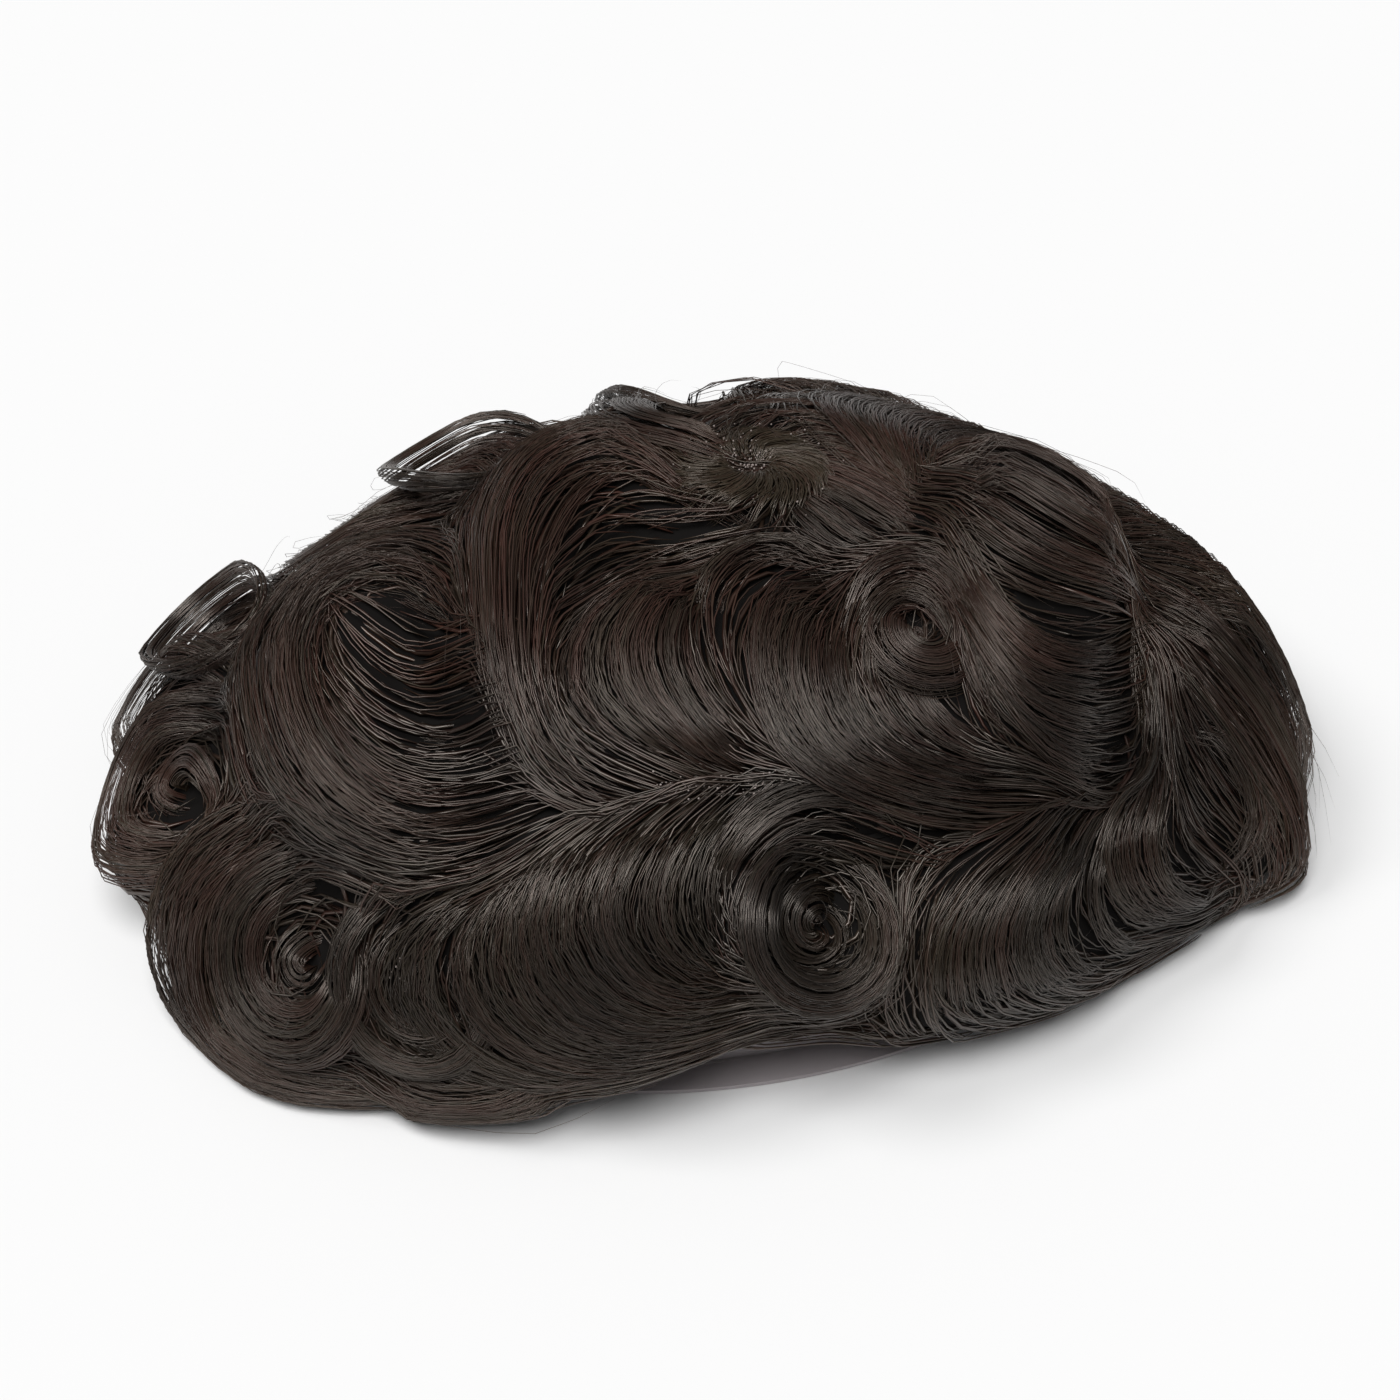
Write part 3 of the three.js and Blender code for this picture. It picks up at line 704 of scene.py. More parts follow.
# %% Hem
HEM_BEND = 2.5
HEM_LOWEST, HEM_HIGHEST = -1, 2.5  # how far a wisp's own hem is from the height given below
FLATTEST = 0.97
# degrees round the head, and the height of the hem there
hem_heights = [(0, 2.5), (45, 2.5), (57, 7), (68, 13), (80, 19), (92, 17), (102, 12), (120, 7), (135, 3.5),
               (150, 2.5), (230, 3), (255, 8), (300, 8), (325, 2.5), (360, 2.5)]


def hem_at(round_head):
    return np.interp(round_head % 360, *zip(*hem_heights))


def girth(height):
    """The lock dome's half width at a height, as a share of its full half width."""
    return np.sqrt(1 - np.clip(height / lock_dome["height"], 0, FLATTEST) ** 2)


def hemmed(line, pick):
    """Bends strands that would reach the surface, so that each wisp turns along the hem at its own height."""
    low = hem_at(np.degrees(np.arctan2(line[..., 0], -line[..., 1])))
    low = low + random.uniform(HEM_LOWEST, HEM_HIGHEST, pick.max() + 1)[pick][:, None]
    raised = low + HEM_BEND * np.logaddexp(0, (line[..., 2] - low) / HEM_BEND)
    line[..., :2] *= (girth(raised) / girth(line[..., 2]))[..., None]
    line[..., 2] = raised
    return line


hems = [height for _, height in hem_heights]
print("the hem is", min(hems), "to", max(hems), "mm high")

# %% [markdown]
# ## Wisps
# Combed hair isn't even: single hairs gather in wisps, and the hairs of a wisp spread at the root and draw
# together at the tip. So each stroke of the comb first gets wisps, spread over its width and down into its
# depth, and then each wisp gets its hairs. A few thin hairs stray and stand off.

# %% Wisps
HAIR_PITCH = 0.36
COATS = 2.25
STRAYS = 0.12
HAIRS_IN_WISP = 6
CROWDING = 1.25  # hairs overlap their neighbours by this much
COAT_DEPTH, COAT_POWER = 0.7, 1.5
GATHER = 0.75
STRAY_RISE, STRAY_FLIGHT, STRAY_RARITY = (0.4, 4), 9, 8
STRAY_SWING = 4


def wisp_picks(width, amount):
    """The wisp of each hair in a stroke of this width."""
    count = max(HAIRS_IN_WISP, int(width / HAIR_PITCH * amount * CROWDING))
    return np.repeat(np.arange(math.ceil(count / HAIRS_IN_WISP)), HAIRS_IN_WISP)


def wispy(pick, low, high, spread=0.0):
    """A value for each hair: one for its wisp, with a small difference of its own."""
    return random.uniform(low, high, pick.max() + 1)[pick] + random.normal(0, spread, len(pick))


def coat_depth(pick):
    """How deep each wisp lies. Most lie near the top."""
    return COAT_DEPTH * random.uniform(0, 1, pick.max() + 1)[pick][:, None] ** COAT_POWER


def stray_rise(count):
    """How far the tips of stray hairs stand off: most a little, a few a long way."""
    rise = random.uniform(*STRAY_RISE, (count, 1))
    return rise + STRAY_FLIGHT * random.uniform(0, 1, (count, 1)) ** STRAY_RARITY


def stray_swing(count):
    return random.normal(0, STRAY_SWING, (count, 1))


def hair_run(pick, starts, stops, share):
    """Where each step of each hair is along its stroke, 0 at the stroke's root and 1 at its tip."""
    begin, end = (np.clip(wispy(pick, *span), *limits) for span, limits in (starts, stops))
    return begin[:, None] + (end - begin)[:, None] * share


print("a coat 10 mm wide has", len(wisp_picks(10, COATS)), "hairs, and", len(wisp_picks(10, STRAYS)), "strays")

# %% [markdown]
# ## Strands along the locks
# In a wound lock the hairs run side by side over its arch. A lock that stands on its edge, such as a loop
# at the hairline, shows both its faces, so it gets hair on both and more of it.

# %% Lock strands
DEGREES_IN_STEP = 18
LOCK_STEPS = (7, 26)
# where hairs start and stop along a lock: lowest, highest and spread in a wisp, then the limits
LOCK_STARTS = ((-0.06, 0.2, 0.04), (-0.1, 0.3))
LOCK_STOPS = ((0.8, 1.08, 0.05), (0.65, 1.12))
COPY_OVERHANG, COPY_SPREAD = 0.3, 0.06  # how far hair goes past the first and last copy
ROOT_SPREAD, TIP_SPREAD, END_FULLNESS = 1.05, 0.97, 0.85  # shares of the lock's width
LOCK_LOOSE, STRAY_LOOSE, LOCK_WANDER = 0.1, 2.5, 0.1
UNEVEN = 0.08
STANDING_AMOUNT, STANDING_LIFT = 1.6, 4
ARCH_POWER = 0.8
ROOT_SINK = 2.2


def lock_strands(lock, stray):
    copies = lock["copies"]
    standing = lock["tilt"] >= STANDING_TILT
    amount = STRAYS if stray else COATS * (STANDING_AMOUNT if standing else 1)
    pick = wisp_picks(copies * LOCK_WIDTH * lock["width"], amount)
    count = len(pick)
    steps = int(np.clip(abs(lock["turn"]) / DEGREES_IN_STEP, *LOCK_STEPS)) + 1
    copy = np.zeros(count)
    if copies > 1:
        copy = wispy(pick, -COPY_OVERHANG, copies - 1 + COPY_OVERHANG, COPY_SPREAD)
    share = np.linspace(0, 1, steps)[None]
    t = hair_run(pick, LOCK_STARTS, LOCK_STOPS, share)
    frames = lock_frames(lock, copy, np.clip(t, 0, 1))
    line = middle_line(lock, copy, t)[0]
    body = ease(t / SWELL) * ease((1 - t) / TAPER)
    half = LOCK_WIDTH * lock["width"] * mix(END_FULLNESS, 1, body)[..., None] / 2
    loose = random.normal(0, LOCK_LOOSE, count)[:, None] * mix(1, GATHER, share) * (STRAY_LOOSE if stray else 1)
    u = wispy(pick, -1, 1)[:, None] * mix(ROOT_SPREAD, TIP_SPREAD, share) + loose
    u = u + wander(count, steps, LOCK_WANDER)
    deep = coat_depth(pick)
    arch = np.sqrt(np.clip(1 - u ** 2, 0, 1)) ** ARCH_POWER
    height = frames["depth"][..., 0] * arch - deep + random.normal(0, UNEVEN, count)[:, None]
    sink = ROOT_SINK * (1 - body)[..., None]
    if standing:
        frames["lift"] = frames["lift"] + STANDING_LIFT * (1 - body)[..., None]
        height = frames["depth"][..., 0] * arch * np.sign(random.uniform(-1, 1, pick.max() + 1)[pick][:, None])
        half, sink = frames["half"], 0
    line = line + frames["out"] * (frames["lift"] - sink)
    line = line + frames["wide"] * half * u[..., None] + frames["thick"] * height[..., None]
    if stray:
        line = line + frames["out"] * (stray_rise(count) * share ** 2)[..., None]
        line = line + frames["across"] * (stray_swing(count) * share ** 2)[..., None]
    return keep_clear(settled(hemmed(line, pick))), frames["thick" if standing else "out"], pick


# %% [markdown]
# ## Strands along the sheets
# In a combed sheet each hair keeps its place between two guides from root to tip, and drifts by about a
# millimetre.

# %% Sheet strands
SHEET_STEPS = (8, 24)
SHEET_STARTS = ((-0.1, 0.3, 0.05), (-0.13, 0.4))
SHEET_STOPS = ((0.7, 1.1, 0.06), (0.6, 1.14))
SHEET_OVERHANG = 0.12  # how far hair goes past the first and last guide
SHEET_DRIFT, SHEET_UNEVEN = 1.0, 0.1


def sheet_strands(sheet, stray):
    pick = wisp_picks(sheet.width, STRAYS if stray else COATS)
    count = len(pick)
    steps = int(np.clip(sheet.turn / DEGREES_IN_STEP, *SHEET_STEPS)) + 1
    share = np.linspace(0, 1, steps)[None]
    place = wispy(pick, -SHEET_OVERHANG, sheet.last + SHEET_OVERHANG)
    t = hair_run(pick, SHEET_STARTS, SHEET_STOPS, share)
    line = sheet.line(place, t)
    out = dome_normal(lock_dome, line)
    side = unit(np.cross(np.gradient(line, axis=1), out))
    height = sheet.height(place, t) - coat_depth(pick) + random.normal(0, SHEET_UNEVEN, count)[:, None]
    drift = random.normal(0, SHEET_DRIFT, count)[:, None] * mix(1, GATHER, share)
    drift = drift + wander(count, steps, SHEET_DRIFT)
    if stray:
        height = height + stray_rise(count) * share ** 2
        drift = drift + stray_swing(count) * share ** 2
    line = line + out * height[..., None] + side * drift[..., None]
    return keep_clear(settled(hemmed(line, pick))), out, pick


# %% [markdown]
# ## Strands between the locks
# These start from roots spread evenly over the skin and follow the chart: each step goes the way that the
# tensor stretches, so a strand bends with its neighbours and slips from one lock into the next.

# %% Ground strands
# count, steps in each, shortest and longest, lowest and highest against the locks' tops, looseness, thinness
ground_layers = [
    (2400, 8, (28, 44), (-2.9, -1.9), 1.2, (3.2, 4.2)),
    (4600, 10, (28, 52), (-1.8, 0.2), 0.7, (1.2, 1.8)),
]
HAIRS_IN_PATCH = 4
LOWEST_ROOT, LOWEST_POINT = 0.06, 2
KEEP_WAY = 0.15  # how much of its own way a strand keeps at each turn
FIRST_TURNS, STEP_TURNS = 6, 2  # how often the chart turns a strand's way before its first step, and at each
ROOTED_SHARE, ROOTED_SINK = 0.25, -1.5
GROUND_LEVEL = 0.85  # the share of the way from the valley up to the locks' tops
ROOT_SCATTER, GROUND_WANDER, GROUND_GATHER = 2.5, 1.2, 0.6
OWN_LENGTH, OWN_LEVEL = (0.85, 1.1), 0.15


def even_roots(count):
    """Places spread evenly over the lock dome, down to just above its rim, on a golden spiral."""
    order = np.arange(count) + 0.5
    high = mix(1, LOWEST_ROOT, order / count)
    turn = order * np.pi * (3 - math.sqrt(5))
    wide = np.sqrt(1 - high ** 2)
    away = np.stack([wide * np.sin(turn), wide * np.cos(turn), high], -1)
    return away * half_sizes(lock_dome, away)


def turned(spot, heading):
    """The heading that the hair near each spot gives to a strand that comes with this one."""
    return np.einsum("nij,nj->ni", read_chart(way_chart, spot), heading)


def ground_strands(count, steps, lengths, levels, loose):
    wisps = count // HAIRS_IN_PATCH
    pick = np.repeat(np.arange(wisps), HAIRS_IN_PATCH)
    count = len(pick)
    roots = even_roots(wisps)[pick] + random.normal(0, loose * ROOT_SCATTER, (count, 3))
    spot = onto_dome(lock_dome, roots)
    heading = random.normal(0, 1, (count, 3))
    for _ in range(FIRST_TURNS):
        heading = unit(turned(spot, heading))
    step = random.uniform(*lengths, wisps)[pick] * random.uniform(*OWN_LENGTH, count) / (steps - 1)
    places = [spot]
    for _ in range(steps - 1):
        for _ in range(STEP_TURNS):
            heading = unit(turned(spot, heading) + heading * KEEP_WAY)
        spot = spot + heading * step[:, None]
        spot[:, 2] = np.maximum(spot[:, 2], LOWEST_POINT)
        spot = onto_dome(lock_dome, spot)
        places.append(spot)
    line = np.stack(places, 1)
    share = np.linspace(0, 1, steps)[None]
    out = dome_normal(lock_dome, line)
    high = read_chart(height_chart, line)
    level = random.uniform(*levels, wisps)[pick][:, None] + random.normal(0, OWN_LEVEL, (count, 1))
    rooted = (1 - ease(share / ROOTED_SHARE)) * ROOTED_SINK
    lifted = out * (mix(VALLEY, high, GROUND_LEVEL) + level + rooted)[..., None]
    side = unit(np.cross(np.gradient(line, axis=1), out))
    drift = wander(count, steps, loose * GROUND_WANDER)
    drift = drift + random.normal(0, loose, (count, 1)) * (1 - share * GROUND_GATHER)
    raised = hemmed(line + lifted + side * drift[..., None], pick)
    return keep_clear(settled(raised)), out, pick, section_of(line[:, 0])


print(sum(layer[0] for layer in ground_layers), "strands between the locks")

# %% [markdown]
# ## The sections of the hair
# A strand between the locks belongs to the section in whose patch it is rooted, as on the CAD solids. A
# section also has its own cast and painted light: the crown is redder than the rest and painted paler, as lit
# from above, and the side of the camera is ashen and painted darker, as in shade.

# %% Sections
# degrees round the head where the patch starts and stops, and the share down the head of its top and bottom
patches = {
    "crown_sweep": (0, 360, 0.0, 0.33),
    "crown_swirl": (95, 230, 0.33, 0.52),
    "forelock": (-50, 95, 0.33, 0.52),
    "forehead_curls": (-50, 45, 0.52, 1),
    "left_waves": (45, 130, 0.52, 1),
    "back_fall": (130, 230, 0.52, 1),
    "right_waves": (230, 310, 0.33, 1),
}
sections = list(patches)
PATCH_SLACK = 0.001
WISP_TONE = 0.4  # the share of a hair's lightness that it has from its wisp
TINT_SPREAD = 0.15
# how much paler a section's hair is painted than the rest (the crown as lit from above, the side of the camera
# darker as in shade), and how much more ashen it is
section_painted_light_and_tint = {
    "crown_sweep": (0.3, -0.1),
    "crown_swirl": (0, -0.1),
    "forelock": (0.1, -0.1),
    "left_waves": (-0.28, 0.3),
}


def section_of(points):
    """The section whose rooted patch each point is on."""
    away = points / half_sizes(lock_dome, points)
    round_head = np.degrees(np.arctan2(away[:, 0], -away[:, 1]))
    down = np.degrees(np.arccos(np.clip(away[:, 2], -1, 1))) / 90
    found = np.full(len(points), "right_waves", dtype=object)
    for section, (start, stop, top, bottom) in patches.items():
        turn = (round_head - start) % 360
        found[(turn <= stop - start) & (down >= top) & (down < bottom + PATCH_SLACK)] = section
    return found


def tones(pick, section):
    """Lightness and tint of each hair. The hairs of a wisp share some of the first and most of the second."""
    wisps = pick.max() + 1
    tone = WISP_TONE * random.uniform(0, 1, wisps)[pick] + (1 - WISP_TONE) * random.uniform(0, 1, len(pick))
    tint = np.clip(random.uniform(0, 1, wisps)[pick] + random.normal(0, TINT_SPREAD, len(pick)), 0, 1)
    # a section's painted light and shade, and its ashen tint
    paler, ashen = section_painted_light_and_tint.get(section, (0, 0))
    return tone + paler, np.clip(tint + ashen, 0, 1)


print(len(sections), "sections:", ", ".join(sections))

# %% [markdown]
# ## All the strands
# Each section's strands are gathered and written as one mesh. A stray is thinner than a hair that lies.

# %% All strands
THINNEST, THICKEST, STRAY_THINNESS = 0.7, 1.2, 0.4
batches = {section: Batch() for section in sections}
styled = [(lock["section"], lock_strands, lock) for lock in locks]
styled += [(sheet.section, sheet_strands, sheet) for sheet in combed]
for section, maker, style in styled:
    for stray in (False, True):
        line, out, pick = maker(style, stray)
        tone, tint = tones(pick, section)
        thin = random.uniform(THINNEST, THICKEST, len(line)) * (STRAY_THINNESS if stray else 1)
        # the whorl's painted sheen: its hair is made paler, and more ashen
        if style is whorl:
            tone, tint = tone + WHORL_PAINTED_SHEEN, np.clip(tint + WHORL_ASHEN, 0, 1)
        batches[section].add(hair_prisms(line, out, thin), tone=tone, tint=tint)
for count, steps, lengths, levels, loose, thin in ground_layers:
    line, out, pick, owner = ground_strands(count, steps, lengths, levels, loose)
    prisms = hair_prisms(line, out, random.uniform(*thin, len(line)))
    for section in sections:
        mine = owner == section
        tone, tint = tones(pick, section)
        batches[section].add(prisms[mine], tone=tone[mine], tint=tint[mine])
strands = {section: batch.mesh(section + "_strands") for section, batch in batches.items()}

# %% [markdown]
# ## The mass under the strands
# Light that falls between the strands has to meet more dark hair, not the skin. Each section therefore gets
# a closed shell over its part of the skin, that follows the chart's heights a little below the strands. Its
# near black is the dark hair beneath and a painted shade, so that the gaps between strands read as deep shadow.

# %% Mass
MASS_INSET = 3.2
MASS_STEP = 2.5  # degrees
MASS_HEM, MASS_HEM_RISE = 7, 1
MASS_CLEAR = 0.3
POLE_GAP = 0.003
OVERLAP, SHELL_LAP = 0.5, 0.01  # what neighbouring shells share: degrees round the head, share down it
MASS_LEVEL = 0.9  # the share of the way from the valley up to the locks' tops


def patch_shell(section):
    """Closed shell over a section's patch, as rings. The crown's rings go all the way round the pole."""
    start, stop, top, bottom = patches[section]
    columns = int((stop - start) / MASS_STEP)
    whole = stop - start == 360
    round_head = np.linspace(start - OVERLAP, stop + OVERLAP, columns)[:, None]
    if whole:
        round_head = np.linspace(start, stop, columns, endpoint=False)[:, None]
    hem = np.maximum(MASS_HEM, hem_at(round_head) + MASS_HEM_RISE)
    low = np.minimum(bottom + SHELL_LAP, np.degrees(np.arccos(hem / base_dome["height"])) / 90)
    rows_down = int((bottom - top) * 90 / MASS_STEP) + 2
    down = mix(max(top, POLE_GAP), low, np.linspace(0, 1, rows_down)[None])
    outer = on_dome(lock_dome, round_head, down)
    height = mix(VALLEY, read_chart(height_chart, outer), MASS_LEVEL) - MASS_INSET
    outer = outer + dome_normal(lock_dome, outer) * height[..., None]
    inner = on_dome({way: half + MASS_CLEAR for way, half in base_dome.items()}, round_head, down[:, ::-1])
    shell = keep_clear(np.concatenate([settled(outer), inner], 1), MASS_CLEAR)
    return shell.transpose(1, 0, 2)[None, ::-1] if whole else shell[None]


def section_mass(section):
    batch = Batch()
    batch.add(patch_shell(section), band=section != "crown_sweep")
    return batch.mesh(section + "_mass")


masses = {section: section_mass(section) for section in sections}

# %% Hair on the frame
for section in sections:
    for thing in (strands[section], masses[section]):
        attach(thing, "root")
        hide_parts(section)
print("each section's strands and mass stand in for its solid")

# %% [markdown]
# ## Skin film
# The base is a thin film, cast over a head form. It could be drawn as a profile and spun, but a head isn't
# round. So a ball is stretched to the base dome and cut just above the table, its open edge is drawn out to
# the flat margin, and Solidify gives the sheet its wall on the inside.

# %% Skin film
FILM_WALL = 0.9
FILM_SEGMENTS, FILM_RINGS = 144, 80
SHARP_EDGE = math.radians(40)


def deselect_all():
    for other in bpy.context.selected_objects:
        other.select_set(False)


def skin_film():
    deselect_all()
    bpy.ops.mesh.primitive_uv_sphere_add(segments=FILM_SEGMENTS, ring_count=FILM_RINGS, radius=1,
                                         location=Vector(dome_middle) * MM)
    film = bpy.context.object
    film.name = film.data.name = "skin_film_dome"
    bpy.ops.object.mode_set(mode="EDIT")
    bpy.ops.mesh.select_all(action="SELECT")
    across, length, height = base_dome["across"], base_dome["brow"], base_dome["height"]
    bpy.ops.transform.resize(value=(across * MM, length * MM, height * MM))
    cut = Vector(dome_middle) * MM + Vector((0, 0, FILM_WALL * MM))
    bpy.ops.mesh.bisect(plane_co=cut, plane_no=(0, 0, 1), clear_inner=True)
    bpy.ops.mesh.select_mode(type="EDGE")
    bpy.ops.mesh.select_all(action="DESELECT")
    bpy.ops.mesh.select_non_manifold()
    bpy.ops.mesh.extrude_region_move()
    bpy.ops.transform.resize(value=((across + MARGIN) / across, (length + MARGIN) / length, 1))
    bpy.ops.mesh.select_all(action="SELECT")
    bpy.ops.mesh.normals_make_consistent(inside=False)
    bpy.ops.object.mode_set(mode="OBJECT")
    wall = film.modifiers.new("wall", "SOLIDIFY")
    wall.thickness, wall.offset = FILM_WALL * MM, -1
    bpy.ops.object.modifier_apply(modifier=wall.name)
    bpy.ops.object.transform_apply(location=True, rotation=True, scale=True)
    bpy.ops.object.shade_smooth_by_angle(angle=SHARP_EDGE)
    print("skin film", len(film.data.polygons), "faces")
    return film


skin = skin_film()
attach(skin, "root")
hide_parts("skin_base")

# %% [markdown]
# ## Knots
# Where the hair parts, the pale knots that tie it to the film glint between the strands: round the whorl,
# along the parting on the side of the camera, and in the eye of the small curl. Each is one bead of a few
# faces, and all are one mesh.

# %% Knots
# degrees round the head and share down it at both ends of a streak, then its spread and its height against the
# locks' tops in millimetres, and the knots in it
knot_streaks = [
    ((-118, 0.155), (-118, 0.155), 6.5, 0.3, 170),
    ((70, 0.405), (92, 0.425), 1.2, -0.1, 90),
    ((47, 0.72), (50, 0.77), 1.6, -0.7, 26),
]
KNOT_RADIUS, KNOT_SIDES = 0.18, 6
KNOT_SIZES = (0.6, 1.5)  # the smallest and largest, against that radius
knot_rings = [(0.8, 0.5), (0, 1), (-0.8, 0.5)]  # rise and girth, in shares of the radius


def knots():
    batch = Batch()
    around = np.linspace(0, 2 * np.pi, KNOT_SIDES, endpoint=False)[:, None]
    for start, stop, spread, level, count in knot_streaks:
        along = random.uniform(0, 1, count)
        spots = on_dome(lock_dome, mix(start[0], stop[0], along), mix(start[1], stop[1], along))
        spots = onto_dome(lock_dome, spots + random.normal(0, spread, (count, 3)))
        out = dome_normal(lock_dome, spots)
        high = mix(VALLEY, read_chart(height_chart, spots), GROUND_LEVEL) + level
        spots = spots + out * high[:, None]
        side = unit(np.cross(UP, out))
        up = np.cross(out, side)
        size = KNOT_RADIUS * random.uniform(*KNOT_SIZES, count)
        rim = side[:, None] * np.sin(around) + up[:, None] * np.cos(around)
        rings = [spots[:, None] + (out[:, None] * rise + rim * girth) * size[:, None, None]
                 for rise, girth in knot_rings]
        batch.add(np.stack(rings, 1))
    return batch.mesh("hair_knots")


knot_beads = knots()
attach(knot_beads, "root")
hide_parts("skin_base")

# %% [markdown]
# ## Materials
# Off-black hair isn't one colour. Each wisp has a lightness and a tint of its own, from near black through
# a warm red brown to an ash olive. Broad cloudy zones make whole waves lighter or darker. One node group
# turns the two values that each strand carries into its colour. It reads the place on the head, so the
# zones stay with the hair.

# %% Hair colour
WARM_BROWN, ASH_OLIVE = (0.056, 0.021, 0.014, 1), (0.036, 0.026, 0.015, 1)
NEAR_BLACK = (0.005, 0.0036, 0.003, 1)
TONE_SHARE = 0.42
CLOUD_SCALE, CLOUD_DETAIL = 28, 1
zones = {"From Min": 0.35, "From Max": 0.65, "To Min": 0.02, "To Max": 0.5}


def new_material(name, rough):
    material = bpy.data.materials.new(name)
    material.use_nodes = True
    shader = material.node_tree.nodes["Principled BSDF"]
    shader.inputs["Roughness"].default_value = rough
    return material, material.node_tree, shader


def hair_colour_group():
    """Lightness and tint to a hair colour, with cloudy zones from the place on the head."""
    group = bpy.data.node_groups.new("hair_colour", "ShaderNodeTree")
    for name in ("Tone", "Tint"):
        group.interface.new_socket(name, in_out="INPUT", socket_type="NodeSocketFloat")
    group.interface.new_socket("Colour", in_out="OUTPUT", socket_type="NodeSocketColor")
    nodes, links = group.nodes, group.links
    given, made = nodes.new("NodeGroupInput"), nodes.new("NodeGroupOutput")
    place = nodes.new("ShaderNodeTexCoord")
    clouds = nodes.new("ShaderNodeTexNoise")
    clouds.inputs["Scale"].default_value = CLOUD_SCALE
    clouds.inputs["Detail"].default_value = CLOUD_DETAIL
    links.new(place.outputs["Object"], clouds.inputs["Vector"])
    sum_up = nodes.new("ShaderNodeMath")
    sum_up.operation = "MULTIPLY_ADD"
    sum_up.inputs[1].default_value = TONE_SHARE
    links.new(given.outputs["Tone"], sum_up.inputs[0])
    zone = nodes.new("ShaderNodeMapRange")
    for socket, value in zones.items():
        zone.inputs[socket].default_value = value
    links.new(clouds.outputs["Fac"], zone.inputs["Value"])
    links.new(zone.outputs["Result"], sum_up.inputs[2])
    tint = nodes.new("ShaderNodeMix")
    tint.data_type = "RGBA"
    tint.inputs["A"].default_value = WARM_BROWN
    tint.inputs["B"].default_value = ASH_OLIVE
    links.new(given.outputs["Tint"], tint.inputs["Factor"])
    shade = nodes.new("ShaderNodeMix")
    shade.data_type = "RGBA"
    shade.inputs["A"].default_value = NEAR_BLACK
    links.new(sum_up.outputs["Value"], shade.inputs["Factor"])
    links.new(tint.outputs["Result"], shade.inputs["B"])
    links.new(shade.outputs["Result"], made.inputs["Colour"])
    return group


hair_colour = hair_colour_group()
print("hair_colour has", len(hair_colour.nodes), "nodes")

# %% [markdown]
# ## Finishes
# Hair has a hard, warm gloss. The mass under it has none, since no light should come back from between the
# strands, and its near black is painted shade as well as dark hair. The film is a pale, slightly clear skin,
# and the knots are paler than the hair that they hold.

# %% Finishes
HAIR_ROUGH, MASS_ROUGH, FILM_ROUGH, KNOT_ROUGH = 0.35, 0.8, 0.4, 0.5
HAIR_GLOSS, MASS_GLOSS = 0.95, 0.1
WARM_GLOSS = (1, 0.9, 0.82, 1)
# the mass's near black: dark hair beneath, and a painted shade for the gaps between strands
MASS_HAIR_AND_SHADE_BLACK, FILM_PINK, KNOT_BUFF = (0.005, 0.0042, 0.0038, 1), (0.46, 0.42, 0.43, 1), (0.30, 0.25, 0.23, 1)
FILM_OPACITY = 0.85


def hair_material(name, rough):
    material, tree, shader = new_material(name, rough)
    group = tree.nodes.new("ShaderNodeGroup")
    group.node_tree = hair_colour
    for label, socket in (("tone", "Tone"), ("tint", "Tint")):
        attribute = tree.nodes.new("ShaderNodeAttribute")
        attribute.attribute_name = label
        tree.links.new(attribute.outputs["Fac"], group.inputs[socket])
    tree.links.new(group.outputs["Colour"], shader.inputs["Base Color"])
    shader.inputs["Specular IOR Level"].default_value = HAIR_GLOSS
    shader.inputs["Specular Tint"].default_value = WARM_GLOSS
    return material


hair_look = hair_material("hair_strands", HAIR_ROUGH)
mass_look, _, mass_shader = new_material("hair_mass", MASS_ROUGH)
mass_shader.inputs["Base Color"].default_value = MASS_HAIR_AND_SHADE_BLACK
mass_shader.inputs["Specular IOR Level"].default_value = MASS_GLOSS
skin_look, _, skin_shader = new_material("skin_film", FILM_ROUGH)
skin_shader.inputs["Base Color"].default_value = FILM_PINK
skin_shader.inputs["Alpha"].default_value = FILM_OPACITY
knot_look, _, knot_shader = new_material("hair_knots", KNOT_ROUGH)
knot_shader.inputs["Base Color"].default_value = KNOT_BUFF
for section in sections:
    strands[section].data.materials.append(hair_look)
    masses[section].data.materials.append(mass_look)
skin.data.materials.append(skin_look)
knot_beads.data.materials.append(knot_look)
print("finishes:", [look.name for look in (hair_look, mass_look, skin_look, knot_look)])

# %% [markdown]
# ## Floor, light and camera
# A catalogue picture is taken on a white sweep. Here that is a plane so wide that its edge is out of sight.
# Its white is even only under light from far away, so the lights are two soft suns and a faint white world.

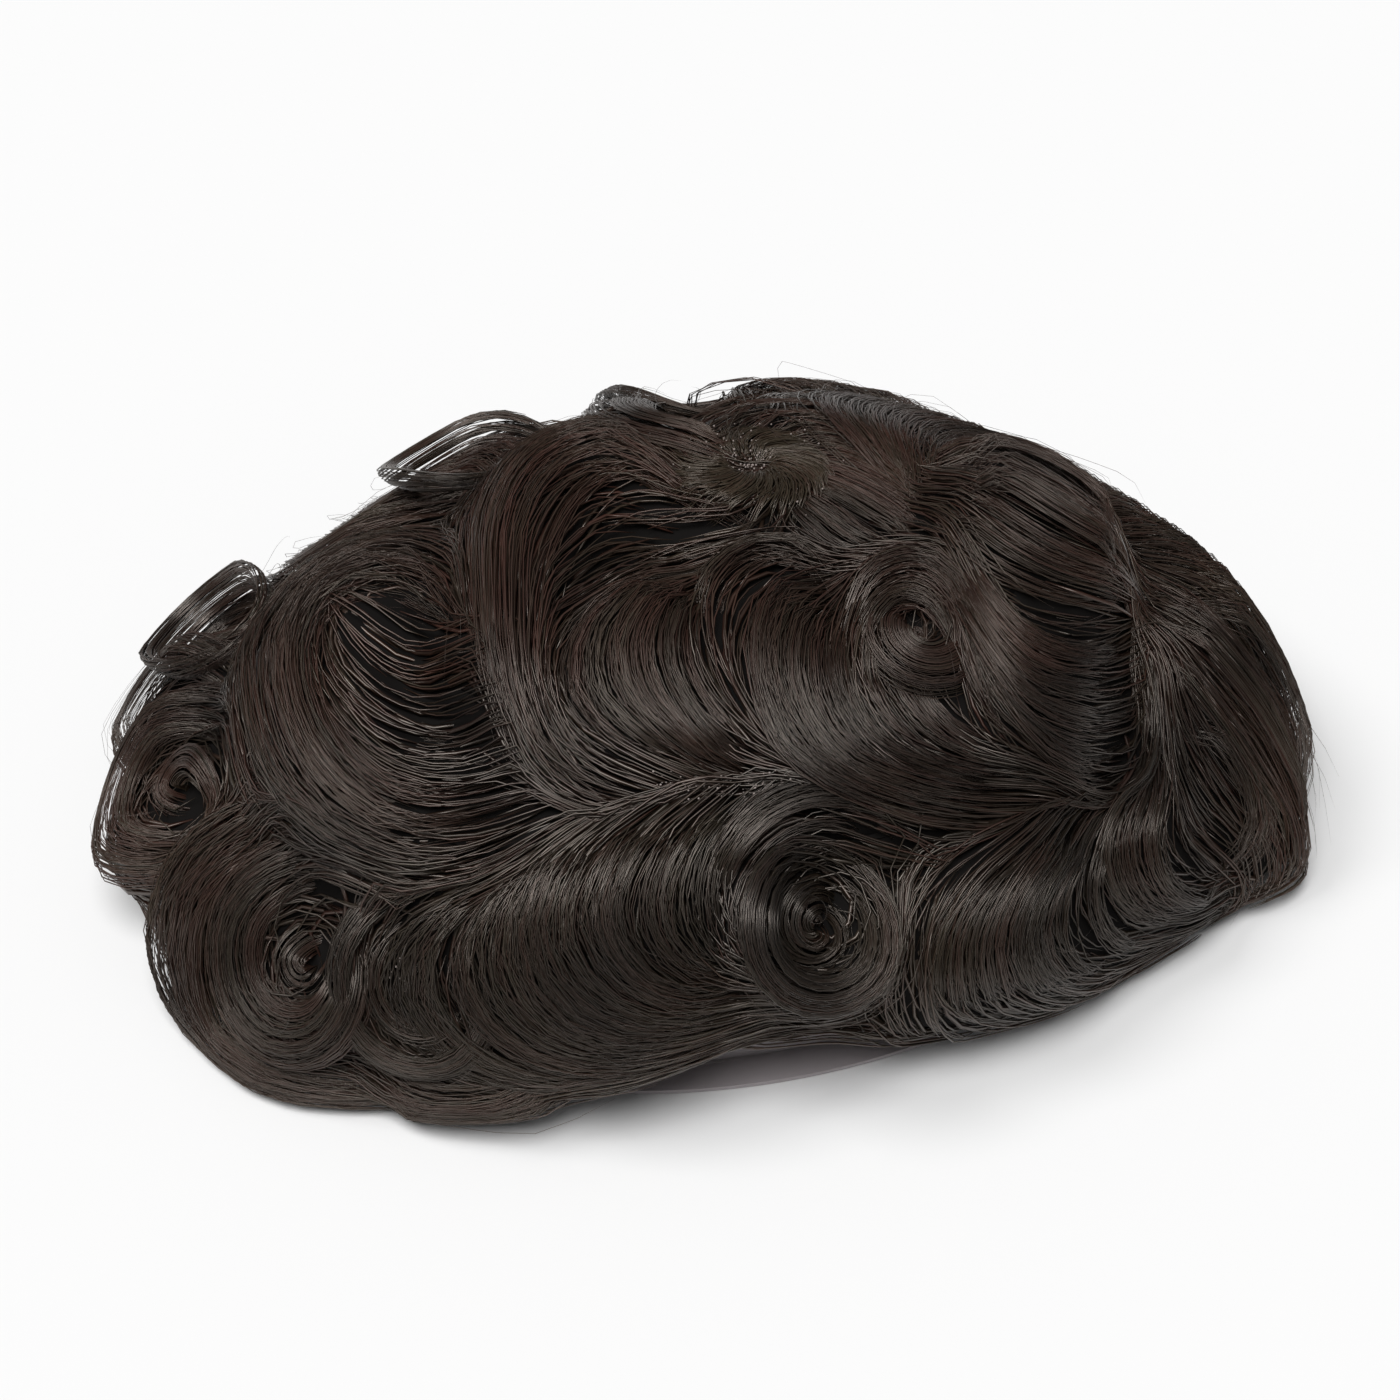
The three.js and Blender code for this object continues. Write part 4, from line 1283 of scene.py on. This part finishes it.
# %% Floor
FLOOR_SIZE, FLOOR_DROP = 40, 0.0002  # metres
FLOOR_WHITE, FLOOR_ROUGH = (0.9, 0.9, 0.9, 1), 0.9
deselect_all()
bpy.ops.mesh.primitive_plane_add(size=FLOOR_SIZE, location=(0, 0, -FLOOR_DROP))
floor = bpy.context.object
floor.name = "pale_floor"
floor_look, _, floor_shader = new_material("pale_floor", FLOOR_ROUGH)
floor_shader.inputs["Base Color"].default_value = FLOOR_WHITE
floor.data.materials.append(floor_look)
print("floor", FLOOR_SIZE, "m wide")

# %% Lights
WORLD_WHITE, WORLD_STRENGTH = (1, 1, 1, 1), 0.15
world = bpy.data.worlds.new("studio")
bpy.context.scene.world = world
world.use_nodes = True
world.node_tree.nodes["Background"].inputs["Color"].default_value = WORLD_WHITE
world.node_tree.nodes["Background"].inputs["Strength"].default_value = WORLD_STRENGTH


def towards_view(azimuth, elevation):
    """The direction from the object to a camera or light: azimuth 0 is before the forehead, 90 at the left."""
    a, e = math.radians(azimuth), math.radians(elevation)
    return Vector((math.sin(a) * math.cos(e), -math.cos(a) * math.cos(e), math.sin(e)))


def sun(name, azimuth, elevation, spread, strength):
    """A far, soft light, so the floor is as bright at its edge as at its middle. spread is its width in
    degrees, as seen from the object."""
    towards = towards_view(azimuth, elevation)
    bpy.ops.object.light_add(type="SUN", location=towards)
    light = bpy.context.object
    light.name = name
    light.data.angle = math.radians(spread)
    light.data.energy = strength
    light.rotation_euler = towards.to_track_quat("Z", "Y").to_euler()


sun("key", 60, 68, 36, 2.35)
sun("front", 345, 55, 24, 0.95)

# %% Camera
LENS, SENSOR, DISTANCE = 85, 36, 0.68866  # millimetres twice, then metres
AZIMUTH, ELEVATION = 76, 45
PHOTO_SIDE = 1400
shift_right, shift_up = -3, 96  # in the photo's pixels
back = towards_view(AZIMUTH, ELEVATION)
bpy.ops.object.camera_add(location=Vector(dome_middle) * MM + back * DISTANCE)
camera = bpy.context.object
camera.rotation_euler = (-back).to_track_quat("-Z", "Y").to_euler()
camera.data.lens, camera.data.sensor_width = LENS, SENSOR
camera.data.shift_x, camera.data.shift_y = shift_right / PHOTO_SIDE, shift_up / PHOTO_SIDE
bpy.context.scene.camera = camera
bpy.context.scene.view_settings.view_transform = "Standard"
print("camera at", [round(v, 3) for v in camera.location])
